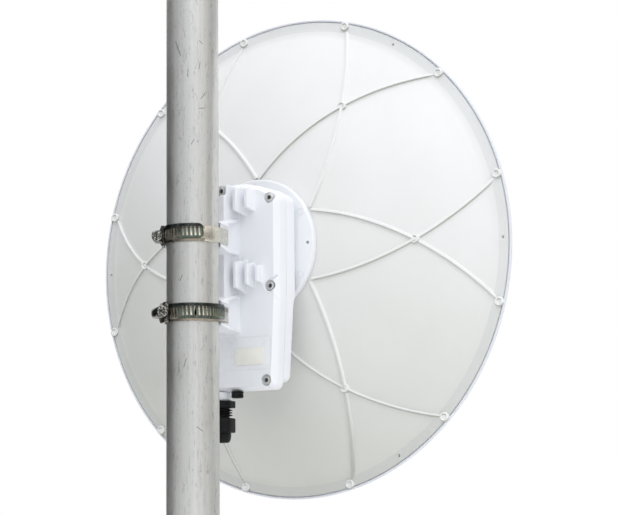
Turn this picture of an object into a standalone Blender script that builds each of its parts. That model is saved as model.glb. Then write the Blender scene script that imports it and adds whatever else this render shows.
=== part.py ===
"""A 400 mm dish antenna for a point-to-point radio link, strapped to a stretch of its pole.

The dish is one plastic moulding with a net of curved ribs on its back. A die-cast radio
box sits on the hub plate behind it, and two worm-drive hose clamps hold the box to a steel
pole. Metres, +Z up. The origin is the centre of the pole's lower end, and the dish looks
along -Y.
"""
import math

import bmesh
import bpy
from mathutils import Matrix, Vector

# Clearance between pieces that touch, and how far joined solids and cutters run into a piece
GAP = 0.0003
OVERLAP = 0.002

# Pole
POLE_RADIUS = 0.0203
POLE_WALL = 0.002
POLE_LENGTH = 0.600
PLUG_DEPTH = 0.012
CAP_HEIGHT = 0.003
CAP_EDGE = 0.0015
POLE_SIDES = 36

# Dish: its centre line is level, and "behind" is the distance behind the rim's back edge
DISH_HEIGHT = 0.300
RIM_BEHIND_POLE = 0.1463
DISH_RADIUS = 0.200
DISH_SIDES = 60
FOCAL_LENGTH = 0.150
SHELL_THICKNESS = 0.003
BAND_RADIUS = 0.188
BAND_OUTER = 0.1967
BAND_BEHIND = 0.0012
GROOVE_BEHIND = -0.0015
LIP_RADIUS = 0.1984
RIM_FRONT = -0.004
SHELL_RINGS = 6

# Ribs, bosses and holes on the back of the dish
SECTORS = 6
SECTOR_ANGLE = math.radians(60)
RIB_HALF_WIDTH = 0.0018
RIB_HALF_TOP = 0.0010
RIB_HEIGHT = 0.002
RIB_ROOT = 0.0015
RIB_STATIONS = 11
RIB_START_RADIUS = 0.0581
RIB_START_ANGLE = math.radians(28.6)
CROSSING_RADIUS = 0.1319
BOSS_CIRCLE = 0.1955
BOSS_RADIUS = 0.0039
BOSS_TOP = 0.0020
BOSS_ROOT = -0.0025
CROSSING_BOSS_RISE = 0.0003
CROSSING_BOSS_HEIGHT = 0.0045
BOSS_SIDES = 12
BOSS_ANGLE = math.radians(15)
RIM_HOLE_CIRCLE = 0.1932
RIM_HOLE_RADIUS = 0.0012

# Hub
HUB_SEAT_RADIUS = 0.060
HUB_SEAT_BEHIND = 0.0548
HUB_SEAT_THICKNESS = 0.004
HUB_SEAT_BACK_STEP = 0.002
HUB_SEAT_FRONT_STEP = 0.003
HUB_BORE = 0.0240
HUB_RADIUS = 0.0555
HUB_UP = 0.0010
HUB_PLATE_BORE = 0.0250
HUB_BACK = 0.0600
HUB_EDGE_WIDTH = 0.0012
HUB_EDGE_HEIGHT = 0.0015
HUB_HOLE_CIRCLE = 0.0500
HUB_HOLE_RADIUS = 0.0014

# Radio box, with "behind" measured as on the dish
BOX_HALF_WIDTH = 0.041
BOX_TOP = 0.0486
BOX_TOP_ARC = 0.074
BOX_TOP_CORNER = 0.009
BOX_TAPER_START = -0.045
BOX_TAPER = 0.0037
BOX_TAPER_BEND = 0.060
BOX_FOOT_CORNER = 0.005
BOX_ARCH_SHARES = (0.66, 0.44, 0.22, 0, -0.22, -0.44, -0.66)
BASE_BOTTOM = -0.1101
COVER_BOTTOM = -0.1165
BASE_FRONT = 0.0603
BASE_EDGE = 0.0650
BASE_BACK = 0.0766
BASE_DRAFT = 0.0042
BASE_STEP = ((-0.018, BASE_FRONT), (-0.050, 0.0667), (BASE_BOTTOM, 0.0676))
NECK_RADIUS = 0.0234
COVER_FRONT = 0.0778
COVER_EDGE = 0.0860
COVER_BACK = 0.0910
COVER_CHAMFER = 0.0030
GASKET_INSET = 0.0012

# Spine, fins and saddles on the rear cover
SPINE_HALF_WIDTH = 0.0057
SPINE_BACK = 0.1120
SPINE_SLOT_BACK = 0.1100
SPINE_SLOT_HALF_HEIGHT = 0.0082
SPINE_TOP = 0.0450
SPINE_TOP_STEP = 0.0362
SPINE_TOP_BACK = 0.1085
FIN_PLACES = (0.0102, 0.0176, 0.0245)
FIN_THICKNESS = 0.0030
FIN_TIPS = (0.1070, 0.1020, 0.0980)
UPPER_FIN_FOOT = 0.0245
FIN_FOOT_STEP = 0.0024
MIDDLE_FIN_TOP = -0.0142
MIDDLE_FIN_BOTTOM = -0.0368
MIDDLE_FIN_DROP = 0.0028
MIDDLE_FIN_TOP_STEP = 0.0016
UPPER_FIN_DROP = 0.0035
FIN_END_SLOPE = 0.20
SADDLE_HEIGHTS = (0.0006, -0.0598)
SADDLE_TIP = (0.0203, 0.1366)
SADDLE_STRIP = (0.0143, 0.1180)
SADDLE_ROOT_BEHIND = 0.0880
SADDLE_V_FLOOR = 0.1225
SADDLE_PLATE = 0.0024
SADDLE_TIP_TOP = 0.0093
SADDLE_TOP_SLOPE = 0.2237
SADDLE_TIP_BOTTOM = -0.0092
SADDLE_STRIP_BOTTOM = -0.0114
SADDLE_ROOT_BOTTOM = -0.0107
SADDLE_GROOVES = (0.25, 0.50, 0.75)
SADDLE_GROOVE_HALF_WIDTH = 0.0008
SADDLE_GROOVE_DEPTH = 0.0006
SADDLE_REACH = 0.03
CHANNEL_LOW = -0.0081
CHANNEL_HIGH = 0.0082

# Label recess and labels
LABEL_HALF_WIDTH = 0.0345
LABEL_TOP = -0.0750
LABEL_BOTTOM = -0.1008
LABEL_RECESS = 0.0009
LABEL_CORNER = 0.003
LABEL_INSET = 0.0006
LABEL_THICKNESS = 0.0005
STICKER_LEFT = 0.0010
STICKER_WIDTH = 0.0280
STICKER_TOP = -0.0835
STICKER_HEIGHT = 0.0133
STICKER_THICKNESS = 0.0003

# Cover screws, as (across, up, seat behind the rim)
SCREW_HEAD_RADIUS = 0.0031
SCREW_HEAD_HEIGHT = 0.0030
SCREW_HEAD_EDGE = 0.0004
SCREW_SHANK_RADIUS = 0.0015
SCREW_LENGTH = 0.0080
POCKET_RADIUS = 0.0046
POCKET_DEPTH = 0.0042
SOCKET_RADIUS = 0.0015
SOCKET_DEPTH = 0.0016
COVER_SCREWS = {
    "top": (0.0, 0.0403, SPINE_TOP_BACK),
    "upper_left": (0.0336, 0.0346, COVER_BACK),
    "upper_right": (-0.0336, 0.0346, COVER_BACK),
    "middle_left": (0.0341, -0.0356, COVER_BACK),
    "middle_right": (-0.0341, -0.0356, COVER_BACK),
    "lower_left": (0.0300, -0.1095, COVER_BACK),
    "lower_right": (-0.0300, -0.1095, COVER_BACK),
}

# Vent plug and cable gland under the cover
VENT_RADIUS = 0.0049
VENT_LENGTH = 0.0052
VENT_EDGE = 0.0006
VENT_BEHIND = 0.0863
GLAND_ACROSS = 0.0170
GLAND_BEHIND = 0.0840
GLAND_BOSS_RADIUS = 0.0076
GLAND_BOSS_LENGTH = 0.0064
GLAND_FLANGE_RADIUS = 0.0113
GLAND_FLANGE_LENGTH = 0.0055
GLAND_FLANGE_TURN = 0.2
GLAND_THREAD_RADIUS = 0.0073
GLAND_THREAD_LENGTH = 0.0180
GLAND_NUT_START = 0.0136
GLAND_NUT_LENGTH = 0.0115
GLAND_DOME = ((0.0077, 0.0), (0.0077, 0.0030), (0.0072, 0.0056), (0.0062, 0.0077))
GLAND_BORE = 0.0052
GLAND_SEAL_BORE = 0.0034
GLAND_SEAL_START = 0.004
GLAND_SEAL_INSET = 0.0008

# Hose clamps: the band's middle at the pole, the worm housing's bearing and middle, and how
# far the free tail runs past the pole's side
BAND_MIDDLES = (-0.0009, -0.0620)
HOUSING_BEARINGS = (math.radians(32.6), math.radians(53.5))
HOUSING_MIDDLES = (-0.0006, -0.0603)
TAIL_ENDS = (-0.0124, 0.0185)
BAND_CLEARANCE = 0.0006
BAND_WIDTH = 0.0120
BAND_THICKNESS = 0.0007
BAND_LEAVES = math.radians(17.9)
BAND_BACK = -0.0290
BAND_BEND = 0.0010
BAND_RISE = 0.058
BAND_RISE_START = 0.004
TAIL_LIFT = 0.0017
TAIL_OVERLAP = 0.0001
TAIL_CORNER = 0.0040
TAIL_HIDDEN = math.radians(20)
TAIL_STEP = 0.0025
SLOT_PITCH = 0.0031
SLOT_WIDTH = 0.0013
SLOT_HEIGHT = 0.0070
SLOT_LEAN = math.radians(5)
SLOT_FROM_END = 0.0032
HOUSING_LIP = 0.0017
HOUSING_FOOT = 0.0030
HOUSING_LENGTH = 0.0140
HOUSING_HEIGHT = 0.0084
HOUSING_NECK = 0.0012
HOUSING_CORNER = 0.003
WORM_RADIUS = 0.0034
WORM_HEAD_RADIUS = 0.0042
WORM_HEAD_LENGTH = 0.0050
WORM_OFFSET = 0.0268
WORM_INSET = 0.001
DRIVER_SLOT_HALF_WIDTH = 0.0005
DRIVER_SLOT_DEPTH = 0.0012

# Feed in front of the dish
FEED_FLANGE_RADIUS = 0.0420
FEED_FLANGE_THICKNESS = 0.0040
FEED_FLANGE_FRONT = 0.0460
FEED_TUBE_RADIUS = 0.0190
FEED_TUBE_FRONT = -0.0640
FEED_CONE_FRONT = -0.0840
FEED_DISC_RADIUS = 0.0420
FEED_DISC_THICKNESS = 0.0030
FEED_CAP_THICKNESS = 0.0060
FEED_CAP_EDGE = 0.0030
FEED_CAP_DOME = 0.0006
FEED_FLANGE_EDGE = 0.0010
FEED_CONE_LIP = 0.0015
FEED_CONE_STEP = 0.0030
FEED_CONE_COLLAR = 0.0060
FLANGE_SCREW_CIRCLE = 0.0330
FLANGE_SCREW_RADIUS = 0.0034
FLANGE_SCREW_HEIGHT = 0.0026
FLANGE_SCREW_EDGE = 0.0010
FLANGE_SCREW_ANGLE = math.radians(45)


def clear_scene():
    for old in list(bpy.data.objects):
        bpy.data.objects.remove(old, do_unlink=True)


def finish_of(name, colour, roughness, metallic=0.0):
    """One plain Principled material."""
    material = bpy.data.materials.new(name)
    material.use_nodes = True
    shader = material.node_tree.nodes["Principled BSDF"]
    shader.inputs["Base Color"].default_value = (*colour, 1.0)
    shader.inputs["Roughness"].default_value = roughness
    shader.inputs["Metallic"].default_value = metallic
    return material


def object_from(name, mesh_builder, material=None):
    """Write a bmesh into a new object, with its faces pointing out."""
    bmesh.ops.remove_doubles(mesh_builder, verts=mesh_builder.verts, dist=1e-6)
    bmesh.ops.recalc_face_normals(mesh_builder, faces=mesh_builder.faces)
    mesh = bpy.data.meshes.new(name)
    mesh_builder.to_mesh(mesh)
    mesh_builder.free()
    mesh.shade_smooth()
    mesh.set_sharp_from_angle(angle=math.radians(35))
    piece = bpy.data.objects.new(name, mesh)
    bpy.context.scene.collection.objects.link(piece)
    if material:
        mesh.materials.append(material)
    return piece


def rounded(corners, steps=4):
    """Turn (x, y, radius) corners into an outline whose corners are arcs."""
    points = []
    for index, (x, y, radius) in enumerate(corners):
        here = Vector((x, y))
        if radius <= 0:
            points.append(here)
            continue
        before = (Vector(corners[index - 1][:2]) - here).normalized()
        after = (Vector(corners[(index + 1) % len(corners)][:2]) - here).normalized()
        half = before.angle(after) / 2
        centre = here + (before + after).normalized() * radius / math.sin(half)
        start = here + before * radius / math.tan(half) - centre
        end = here + after * radius / math.tan(half) - centre
        turn = start.angle_signed(end)
        for step in range(steps + 1):
            points.append(centre + Matrix.Rotation(-turn * step / steps, 2) @ start)
    return points


def prism(name, outline, along, low, high, material=None):
    """Extrude an outline: (y, z) along X, (x, z) along Y, or (x, y) along Z."""
    place = {
        "X": lambda u, v: (low, u, v),
        "Y": lambda u, v: (u, low, v),
        "Z": lambda u, v: (u, v, low),
    }[along]
    step = {"X": (high - low, 0, 0), "Y": (0, high - low, 0), "Z": (0, 0, high - low)}[along]
    shape = bmesh.new()
    face = shape.faces.new([shape.verts.new(place(u, v)) for u, v in outline])
    raised = bmesh.ops.extrude_face_region(shape, geom=[face])
    moved = [item for item in raised["geom"] if isinstance(item, bmesh.types.BMVert)]
    bmesh.ops.translate(shape, vec=step, verts=moved)
    return object_from(name, shape, material)


def turned(name, profile, centre, axis, sides, material=None):
    """Spin a closed (radius, along) profile about an axis through a centre."""
    shape = bmesh.new()
    centre = Vector(centre)
    axis = Vector(axis)
    out = Vector((1, 0, 0)) if abs(axis.x) < 0.5 else Vector((0, 0, 1))
    ring = [shape.verts.new(centre + out * radius + axis * along) for radius, along in profile]
    edges = [shape.edges.new((ring[i - 1], ring[i])) for i in range(len(ring))]
    edges = [e for e in edges if max((v.co - centre).cross(axis).length for v in e.verts) > 1e-7]
    bmesh.ops.spin(
        shape, geom=edges, cent=centre, axis=axis, dvec=(0, 0, 0),
        angle=math.tau, steps=sides, use_merge=True, use_duplicate=False,
    )
    loose = [edge for edge in shape.edges if not edge.link_faces]
    bmesh.ops.delete(shape, geom=loose, context="EDGES")
    bmesh.ops.remove_doubles(shape, verts=shape.verts, dist=1e-6)
    bmesh.ops.dissolve_degenerate(shape, edges=shape.edges, dist=1e-7)
    return object_from(name, shape, material)


def hexagon(radius, turn=0.0):
    """A hexagon's corners round the origin."""
    return [
        (radius * math.cos(turn + k * math.pi / 3), radius * math.sin(turn + k * math.pi / 3))
        for k in range(6)
    ]


def combine(piece, other, operation):
    """Join another solid to a piece, cut it away, or keep what they share."""
    change = piece.modifiers.new(f"{operation.lower()}_{other.name}", "BOOLEAN")
    change.operation = operation
    change.solver = "EXACT"
    change.object = other
    other.hide_render = True
    other.hide_set(True)
    other.display_type = "WIRE"
    return piece


def merged(name, pieces):
    """Put several solids that don't touch into one helper mesh."""
    shape = bmesh.new()
    for piece in pieces:
        shape.from_mesh(piece.data)
        bpy.data.objects.remove(piece, do_unlink=True)
    return object_from(name, shape)


def y_of(behind):
    """Y of a plane that lies a distance behind the rim's back edge."""
    return behind - RIM_BEHIND_POLE


def dish_point(radius, angle, behind):
    """A point on the dish; angle 0 is -X, and 90 degrees is up."""
    return Vector((-radius * math.cos(angle), y_of(behind), DISH_HEIGHT + radius * math.sin(angle)))


def back_of_dish(radius):
    """Distance of the paraboloid's back behind the rim's back edge."""
    return BAND_BEHIND + (BAND_RADIUS ** 2 - radius ** 2) / (4 * FOCAL_LENGTH)


def dish_turned(name, profile, sides, material=None, across=0.0, up=0.0):
    """Spin a (radius, behind) profile about a line parallel to the dish's axis."""
    centre = (across, y_of(0), DISH_HEIGHT + up)
    return turned(name, profile, centre, (0, 1, 0), sides, material)


def upright_turned(name, profile, across, behind, sides, material=None):
    """Spin a (radius, height above the dish's centre) profile about an upright line."""
    return turned(name, profile, (across, y_of(behind), DISH_HEIGHT), (0, 0, 1), sides, material)


def pole(steel, plastic):
    inner = POLE_RADIUS - POLE_WALL
    profile = [(inner, 0), (POLE_RADIUS, 0), (POLE_RADIUS, POLE_LENGTH), (inner, POLE_LENGTH)]
    turned("pole", profile, (0, 0, 0), (0, 0, 1), POLE_SIDES, steel)
    plug = inner - GAP
    turned("pole_foot_plug", [(0, 0), (plug, 0), (plug, PLUG_DEPTH), (0, PLUG_DEPTH)],
           (0, 0, 0), (0, 0, 1), POLE_SIDES, plastic)
    top = POLE_LENGTH + GAP
    turned("pole_top_cap",
           [(0, top - PLUG_DEPTH), (plug, top - PLUG_DEPTH), (plug, top), (POLE_RADIUS, top),
            (POLE_RADIUS, top + CAP_HEIGHT - CAP_EDGE), (POLE_RADIUS - CAP_EDGE, top + CAP_HEIGHT),
            (0, top + CAP_HEIGHT)],
           (0, 0, 0), (0, 0, 1), POLE_SIDES, plastic)


def rib_arc(side):
    """The circle in the dish's plane through a rib's three points, as (centre, radius)."""
    points = [
        (RIB_START_RADIUS * math.cos(RIB_START_ANGLE),
         side * RIB_START_RADIUS * math.sin(RIB_START_ANGLE)),
        (CROSSING_RADIUS, 0.0),
        (BOSS_CIRCLE * math.cos(BOSS_ANGLE), -side * BOSS_CIRCLE * math.sin(BOSS_ANGLE)),
    ]
    (ax, ay), (bx, by), (cx, cy) = points
    d = 2 * (ax * (by - cy) + bx * (cy - ay) + cx * (ay - by))
    a, b, c = ax ** 2 + ay ** 2, bx ** 2 + by ** 2, cx ** 2 + cy ** 2
    centre = Vector(((a * (by - cy) + b * (cy - ay) + c * (ay - by)) / d,
                     (a * (cx - bx) + b * (ax - cx) + c * (bx - ax)) / d))
    start = Vector(points[0]) - centre
    end = Vector(points[2]) - centre
    return centre, start, start.angle_signed(end)


def rib_set(name, side, rib_height):
    """Six ribs of one hand, each following the paraboloid from the hub to its boss."""
    centre, start, sweep = rib_arc(side)
    shape = bmesh.new()
    for sector in range(SECTORS):
        turn = Matrix.Rotation(sector * SECTOR_ANGLE, 2)
        loops = []
        for station in range(RIB_STATIONS):
            spoke = Matrix.Rotation(-sweep * station / (RIB_STATIONS - 1), 2) @ start
            outward = spoke.normalized()
            loop = []
            section = [(-RIB_HALF_WIDTH, -RIB_ROOT), (-RIB_HALF_TOP, rib_height),
                       (RIB_HALF_TOP, rib_height), (RIB_HALF_WIDTH, -RIB_ROOT)]
            for offset, height in section:
                flat = turn @ (centre + spoke + outward * offset)
                behind = back_of_dish(flat.length) + height
                loop.append(shape.verts.new(dish_point(flat.length, math.atan2(flat.y, flat.x), behind)))
            loops.append(loop)
        for first, second in zip(loops, loops[1:]):
            for i in range(len(first)):
                shape.faces.new((first[i - 1], first[i], second[i], second[i - 1]))
        shape.faces.new(loops[0])
        shape.faces.new(reversed(loops[-1]))
    return object_from(name, shape)


def reflector(white):
    """Shell, rim, ribs and bosses are one moulding."""
    radii = [HUB_SEAT_RADIUS + (BAND_RADIUS - HUB_SEAT_RADIUS) * i / SHELL_RINGS
             for i in range(SHELL_RINGS + 1)]
    front_edge = math.sqrt(BAND_RADIUS ** 2 + 4 * FOCAL_LENGTH
                           * (BAND_BEHIND - SHELL_THICKNESS - RIM_FRONT))
    seat_front = HUB_SEAT_BEHIND - HUB_SEAT_THICKNESS
    profile = [(HUB_BORE, seat_front), (HUB_BORE, HUB_SEAT_BEHIND)]
    profile += [(HUB_SEAT_RADIUS - HUB_SEAT_BACK_STEP, HUB_SEAT_BEHIND)]
    profile += [(r, back_of_dish(r)) for r in radii]
    profile += [(BAND_OUTER, BAND_BEHIND), (BAND_OUTER, GROOVE_BEHIND),
                (LIP_RADIUS, GROOVE_BEHIND), (LIP_RADIUS, 0), (DISH_RADIUS, 0),
                (DISH_RADIUS, RIM_FRONT), (front_edge, RIM_FRONT)]
    profile += [(r, back_of_dish(r) - SHELL_THICKNESS) for r in reversed(radii)]
    profile += [(HUB_SEAT_RADIUS - HUB_SEAT_FRONT_STEP, seat_front)]
    dish = dish_turned("reflector", profile, DISH_SIDES, white)
    combine(dish, rib_set("ribs_one_hand", 1, RIB_HEIGHT), "UNION")
    combine(dish, rib_set("ribs_other_hand", -1, 0.95 * RIB_HEIGHT), "UNION")

    bosses = []
    holes = []
    for sector in range(SECTORS):
        middle = sector * SECTOR_ANGLE
        for side in (-1, 1):
            spot = dish_point(BOSS_CIRCLE, middle + side * BOSS_ANGLE, 0)
            bosses.append(dish_turned("boss", [(0, BOSS_ROOT), (BOSS_RADIUS, BOSS_ROOT),
                                               (BOSS_RADIUS, BOSS_TOP), (0, BOSS_TOP)], BOSS_SIDES,
                                      across=spot.x, up=spot.z - DISH_HEIGHT))
        spot = dish_point(CROSSING_RADIUS, middle, 0)
        top = back_of_dish(CROSSING_RADIUS) + RIB_HEIGHT + CROSSING_BOSS_RISE
        low = top - CROSSING_BOSS_HEIGHT
        bosses.append(dish_turned("boss", [(0, low), (BOSS_RADIUS, low), (BOSS_RADIUS, top),
                                           (0, top)], BOSS_SIDES,
                                  across=spot.x, up=spot.z - DISH_HEIGHT))
        spot = dish_point(RIM_HOLE_CIRCLE, middle, 0)
        front, back = RIM_FRONT - OVERLAP, BAND_BEHIND + OVERLAP
        holes.append(dish_turned("hole", [(0, front), (RIM_HOLE_RADIUS, front),
                                          (RIM_HOLE_RADIUS, back), (0, back)], 10,
                                 across=spot.x, up=spot.z - DISH_HEIGHT))
    combine(dish, merged("bosses", bosses), "UNION")
    combine(dish, merged("rim_holes", holes), "DIFFERENCE")


def hub_plate(white):
    """The round plate that the ribs run up to, with four small holes near its edge."""
    low = HUB_SEAT_BEHIND + GAP
    plate = dish_turned("hub_plate",
                        [(HUB_PLATE_BORE, low), (HUB_RADIUS, low),
                         (HUB_RADIUS, HUB_BACK - HUB_EDGE_HEIGHT),
                         (HUB_RADIUS - HUB_EDGE_WIDTH, HUB_BACK), (HUB_PLATE_BORE, HUB_BACK)],
                        64, white, up=HUB_UP)
    holes = []
    for quarter in range(4):
        spot = dish_point(HUB_HOLE_CIRCLE, quarter * math.pi / 2, 0)
        front, back = low - OVERLAP, HUB_BACK + OVERLAP
        holes.append(dish_turned("hole", [(0, front), (HUB_HOLE_RADIUS, front),
                                          (HUB_HOLE_RADIUS, back), (0, back)],
                                 10, across=spot.x, up=spot.z - DISH_HEIGHT + HUB_UP))
    combine(plate, merged("hub_holes", holes), "DIFFERENCE")


def box_outline(bottom, inset=0.0):
    """Front view of the radio box: an arched top, tapered sides and a flat bottom."""
    half = BOX_HALF_WIDTH - inset
    foot = half - BOX_TAPER
    top = DISH_HEIGHT + BOX_TOP - inset

    def arch(x):
        return top - BOX_TOP_ARC + math.sqrt(BOX_TOP_ARC ** 2 - x ** 2)

    corners = [(half, arch(half), BOX_TOP_CORNER)]
    corners += [(share * half, arch(share * half), 0) for share in BOX_ARCH_SHARES]
    bend = DISH_HEIGHT + BOX_TAPER_START
    base = DISH_HEIGHT + bottom + inset
    corners += [(-half, arch(half), BOX_TOP_CORNER), (-half, bend, BOX_TAPER_BEND),
                (-foot, base, BOX_FOOT_CORNER), (foot, base, BOX_FOOT_CORNER),
                (half, bend, BOX_TAPER_BEND)]
    return rounded(corners)


def slab(name, outline, behind_low, behind_high, edge_behind, edge_inset, material=None):
    """A cast slab: straight walls, then one sloping edge up to its inset face."""
    shape = bmesh.new()
    face = shape.faces.new([shape.verts.new((x, y_of(behind_low), z)) for x, z in outline])
    raised = bmesh.ops.extrude_face_region(shape, geom=[face])
    verts = [item for item in raised["geom"] if isinstance(item, bmesh.types.BMVert)]
    bmesh.ops.translate(shape, vec=(0, edge_behind - behind_low, 0), verts=verts)
    cap = [item for item in raised["geom"] if isinstance(item, bmesh.types.BMFace)]
    bmesh.ops.recalc_face_normals(shape, faces=shape.faces)
    bmesh.ops.inset_region(shape, faces=cap, thickness=edge_inset, depth=0, use_even_offset=True)
    bmesh.ops.translate(shape, vec=(0, behind_high - edge_behind, 0), verts=cap[0].verts)
    return object_from(name, shape, material)


def radio_base(white):
    """The dish-side half of the radio box, with the neck that goes through the hub."""
    base = slab("radio_base", box_outline(BASE_BOTTOM), BASE_BACK, BASE_FRONT, BASE_EDGE,
                BASE_DRAFT, white)
    low = DISH_HEIGHT + COVER_BOTTOM - OVERLAP
    high = DISH_HEIGHT + BOX_TOP + OVERLAP
    side = [(y_of(BASE_BACK + OVERLAP), high), (y_of(BASE_BACK + OVERLAP), low),
            (y_of(BASE_STEP[-1][1]), low)]
    side += [(y_of(front), DISH_HEIGHT + up) for up, front in reversed(BASE_STEP)]
    side += [(y_of(BASE_FRONT), high)]
    wide = BOX_HALF_WIDTH + OVERLAP
    combine(base, prism("base_side", side, "X", -wide, wide), "INTERSECT")
    neck_front = FEED_FLANGE_FRONT + FEED_FLANGE_THICKNESS + GAP
    neck_back = BASE_FRONT + 2 * OVERLAP
    combine(base, dish_turned("neck", [(0, neck_front), (NECK_RADIUS, neck_front),
                                       (NECK_RADIUS, neck_back), (0, neck_back)],
                              48), "UNION")


def lid_gasket(grey):
    """A thin seal between the two halves of the radio box."""
    outline = box_outline(BASE_BOTTOM, GASKET_INSET)
    prism("lid_gasket", outline, "Y", y_of(BASE_BACK + GAP), y_of(COVER_FRONT - GAP), grey)


def fin(across, tip, bottom, top):
    """One upright fin, whose ends slope with the draft of the casting."""
    root = COVER_BACK - OVERLAP
    run = tip - root
    side = [(y_of(root), DISH_HEIGHT + bottom - run * FIN_END_SLOPE),
            (y_of(tip), DISH_HEIGHT + bottom), (y_of(tip), DISH_HEIGHT + top),
            (y_of(root), DISH_HEIGHT + top + run * FIN_END_SLOPE)]
    low, high = sorted((across, across + math.copysign(FIN_THICKNESS, across)))
    return prism("fin", side, "X", low, high)


def band_run(y):
    """The point at some Y on the straight run of a band from the pole to behind the saddle."""
    side = POLE_RADIUS + BAND_CLEARANCE
    leaves = Vector((side * math.cos(BAND_LEAVES), -side * math.sin(BAND_LEAVES)))
    return Vector((leaves.x + (y - leaves.y) * math.tan(BAND_LEAVES), y))


def saddle(number, height):
    """Two plates that widen toward the pole, and the block between them whose V meets it."""
    contact = (POLE_RADIUS + GAP) * math.sqrt(2)
    middle = DISH_HEIGHT + height
    tip = y_of(SADDLE_TIP[1])
    strip = y_of(SADDLE_STRIP[1])
    root = y_of(SADDLE_ROOT_BEHIND)
    floor = y_of(SADDLE_V_FLOOR)
    wall = Vector((SADDLE_TIP[0], tip))
    run = Vector((SADDLE_STRIP[0], strip)) - wall
    along = run.normalized() * SADDLE_GROOVE_HALF_WIDTH
    inward = Vector((run.y, -run.x)).normalized() * SADDLE_GROOVE_DEPTH
    half_plan = [Vector((floor + contact, floor)), Vector((tip + contact, tip)), wall]
    for share in SADDLE_GROOVES:
        spot = wall + run * share
        half_plan += [spot - along, spot + inward, spot + along]
    half_plan.append(wall + run * (root - tip) / (strip - tip))
    plan = [(p.x, p.y) for p in half_plan] + [(-p.x, p.y) for p in reversed(half_plan)]
    block = prism(f"saddle_{number}", plan, "Z", middle - SADDLE_REACH, middle + SADDLE_REACH)

    def top(y):
        return middle + SADDLE_TIP_TOP + SADDLE_TOP_SLOPE * (tip - y)

    over = tip + OVERLAP
    side = [(over, top(over)), (root, top(root)), (root, middle + SADDLE_ROOT_BOTTOM),
            (strip, middle + SADDLE_STRIP_BOTTOM), (tip, middle + SADDLE_TIP_BOTTOM),
            (over, middle + SADDLE_TIP_BOTTOM)]
    combine(block, prism(f"saddle_side_{number}", side, "X", -SADDLE_REACH, SADDLE_REACH), "INTERSECT")
    past = root - OVERLAP
    window = [(strip, top(strip) - SADDLE_PLATE), (past, top(past) - SADDLE_PLATE),
              (past, middle + SADDLE_ROOT_BOTTOM + SADDLE_PLATE),
              (strip, middle + SADDLE_STRIP_BOTTOM + SADDLE_PLATE)]
    wide = SADDLE_REACH + OVERLAP
    combine(block, prism(f"saddle_window_{number}", window, "X", -wide, wide), "DIFFERENCE")

    channels = []
    near, far = band_run(0.0), band_run(root)
    for side in (-1, 1):
        outline = [(side * (near.x - GAP), near.y), (side * (far.x - GAP), far.y),
                   (side * SADDLE_REACH, far.y), (side * SADDLE_REACH, near.y)]
        channels.append(prism("channel", outline, "Z", middle + CHANNEL_LOW, middle + CHANNEL_HIGH))
    return combine(block, merged(f"band_channels_{number}", channels), "DIFFERENCE")


def label_outline(inset):
    """The rounded rectangle of the label recess, or of the label inside it."""
    half = LABEL_HALF_WIDTH - inset
    top = DISH_HEIGHT + LABEL_TOP - inset
    bottom = DISH_HEIGHT + LABEL_BOTTOM + inset
    corner = LABEL_CORNER - inset
    return rounded([(half, top, corner), (-half, top, corner), (-half, bottom, corner),
                    (half, bottom, corner)], 3)


def rear_cover(white):
    """The pole-side casting: slab, spine, fins and the two saddles that meet the pole."""
    cover = slab("rear_cover", box_outline(COVER_BOTTOM), COVER_FRONT, COVER_BACK, COVER_EDGE,
                 COVER_CHAMFER, white)
    root = y_of(COVER_BACK - OVERLAP)
    spine_foot = DISH_HEIGHT + SADDLE_HEIGHTS[1] + SADDLE_ROOT_BOTTOM + SADDLE_PLATE / 2
    spine_top = DISH_HEIGHT + SPINE_TOP
    side = [(root, spine_foot), (y_of(SPINE_BACK), spine_foot)]
    for height in reversed(SADDLE_HEIGHTS):
        low, high = height - SPINE_SLOT_HALF_HEIGHT, height + SPINE_SLOT_HALF_HEIGHT
        for z, back in ((low, SPINE_BACK), (low, SPINE_SLOT_BACK),
                        (high, SPINE_SLOT_BACK), (high, SPINE_BACK)):
            side.append((y_of(back), DISH_HEIGHT + z))
    side += [(y_of(SPINE_BACK), DISH_HEIGHT + SPINE_TOP_STEP),
             (y_of(SPINE_TOP_BACK), DISH_HEIGHT + SPINE_TOP_STEP + GAP),
             (y_of(SPINE_TOP_BACK), spine_top), (root, spine_top)]
    combine(cover, prism("spine", side, "X", -SPINE_HALF_WIDTH, SPINE_HALF_WIDTH), "UNION")

    for number, height in enumerate(SADDLE_HEIGHTS):
        combine(cover, saddle(number + 1, height), "UNION")

    fins = []
    for side in (-1, 1):
        for step, (across, tip) in enumerate(zip(FIN_PLACES, FIN_TIPS)):
            fins.append(fin(side * across, tip, MIDDLE_FIN_BOTTOM + step * FIN_FOOT_STEP,
                            MIDDLE_FIN_TOP - MIDDLE_FIN_DROP - step * MIDDLE_FIN_TOP_STEP))
            if step < 2:
                arch = BOX_TOP_ARC - math.sqrt(BOX_TOP_ARC ** 2 - across ** 2)
                run = tip - COVER_BACK
                fins.append(fin(side * across, tip, UPPER_FIN_FOOT + step * FIN_FOOT_STEP,
                                BOX_TOP - arch - UPPER_FIN_DROP - run * FIN_END_SLOPE))
    combine(cover, merged("fins", fins), "UNION")

    combine(cover, prism("label_recess", label_outline(0), "Y", y_of(COVER_BACK - LABEL_RECESS),
                         y_of(COVER_BACK + OVERLAP)), "DIFFERENCE")

    bores = []
    for across, up, seat in COVER_SCREWS.values():
        floor = seat - POCKET_DEPTH
        bore = SCREW_SHANK_RADIUS + GAP
        end = floor - SCREW_LENGTH - GAP
        profile = [(0, end), (bore, end), (bore, floor), (POCKET_RADIUS, floor),
                   (POCKET_RADIUS, seat + 2 * OVERLAP), (0, seat + 2 * OVERLAP)]
        bores.append(dish_turned("bore", profile, 16, across=across, up=up))
    combine(cover, merged("screw_bores", bores), "DIFFERENCE")


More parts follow.
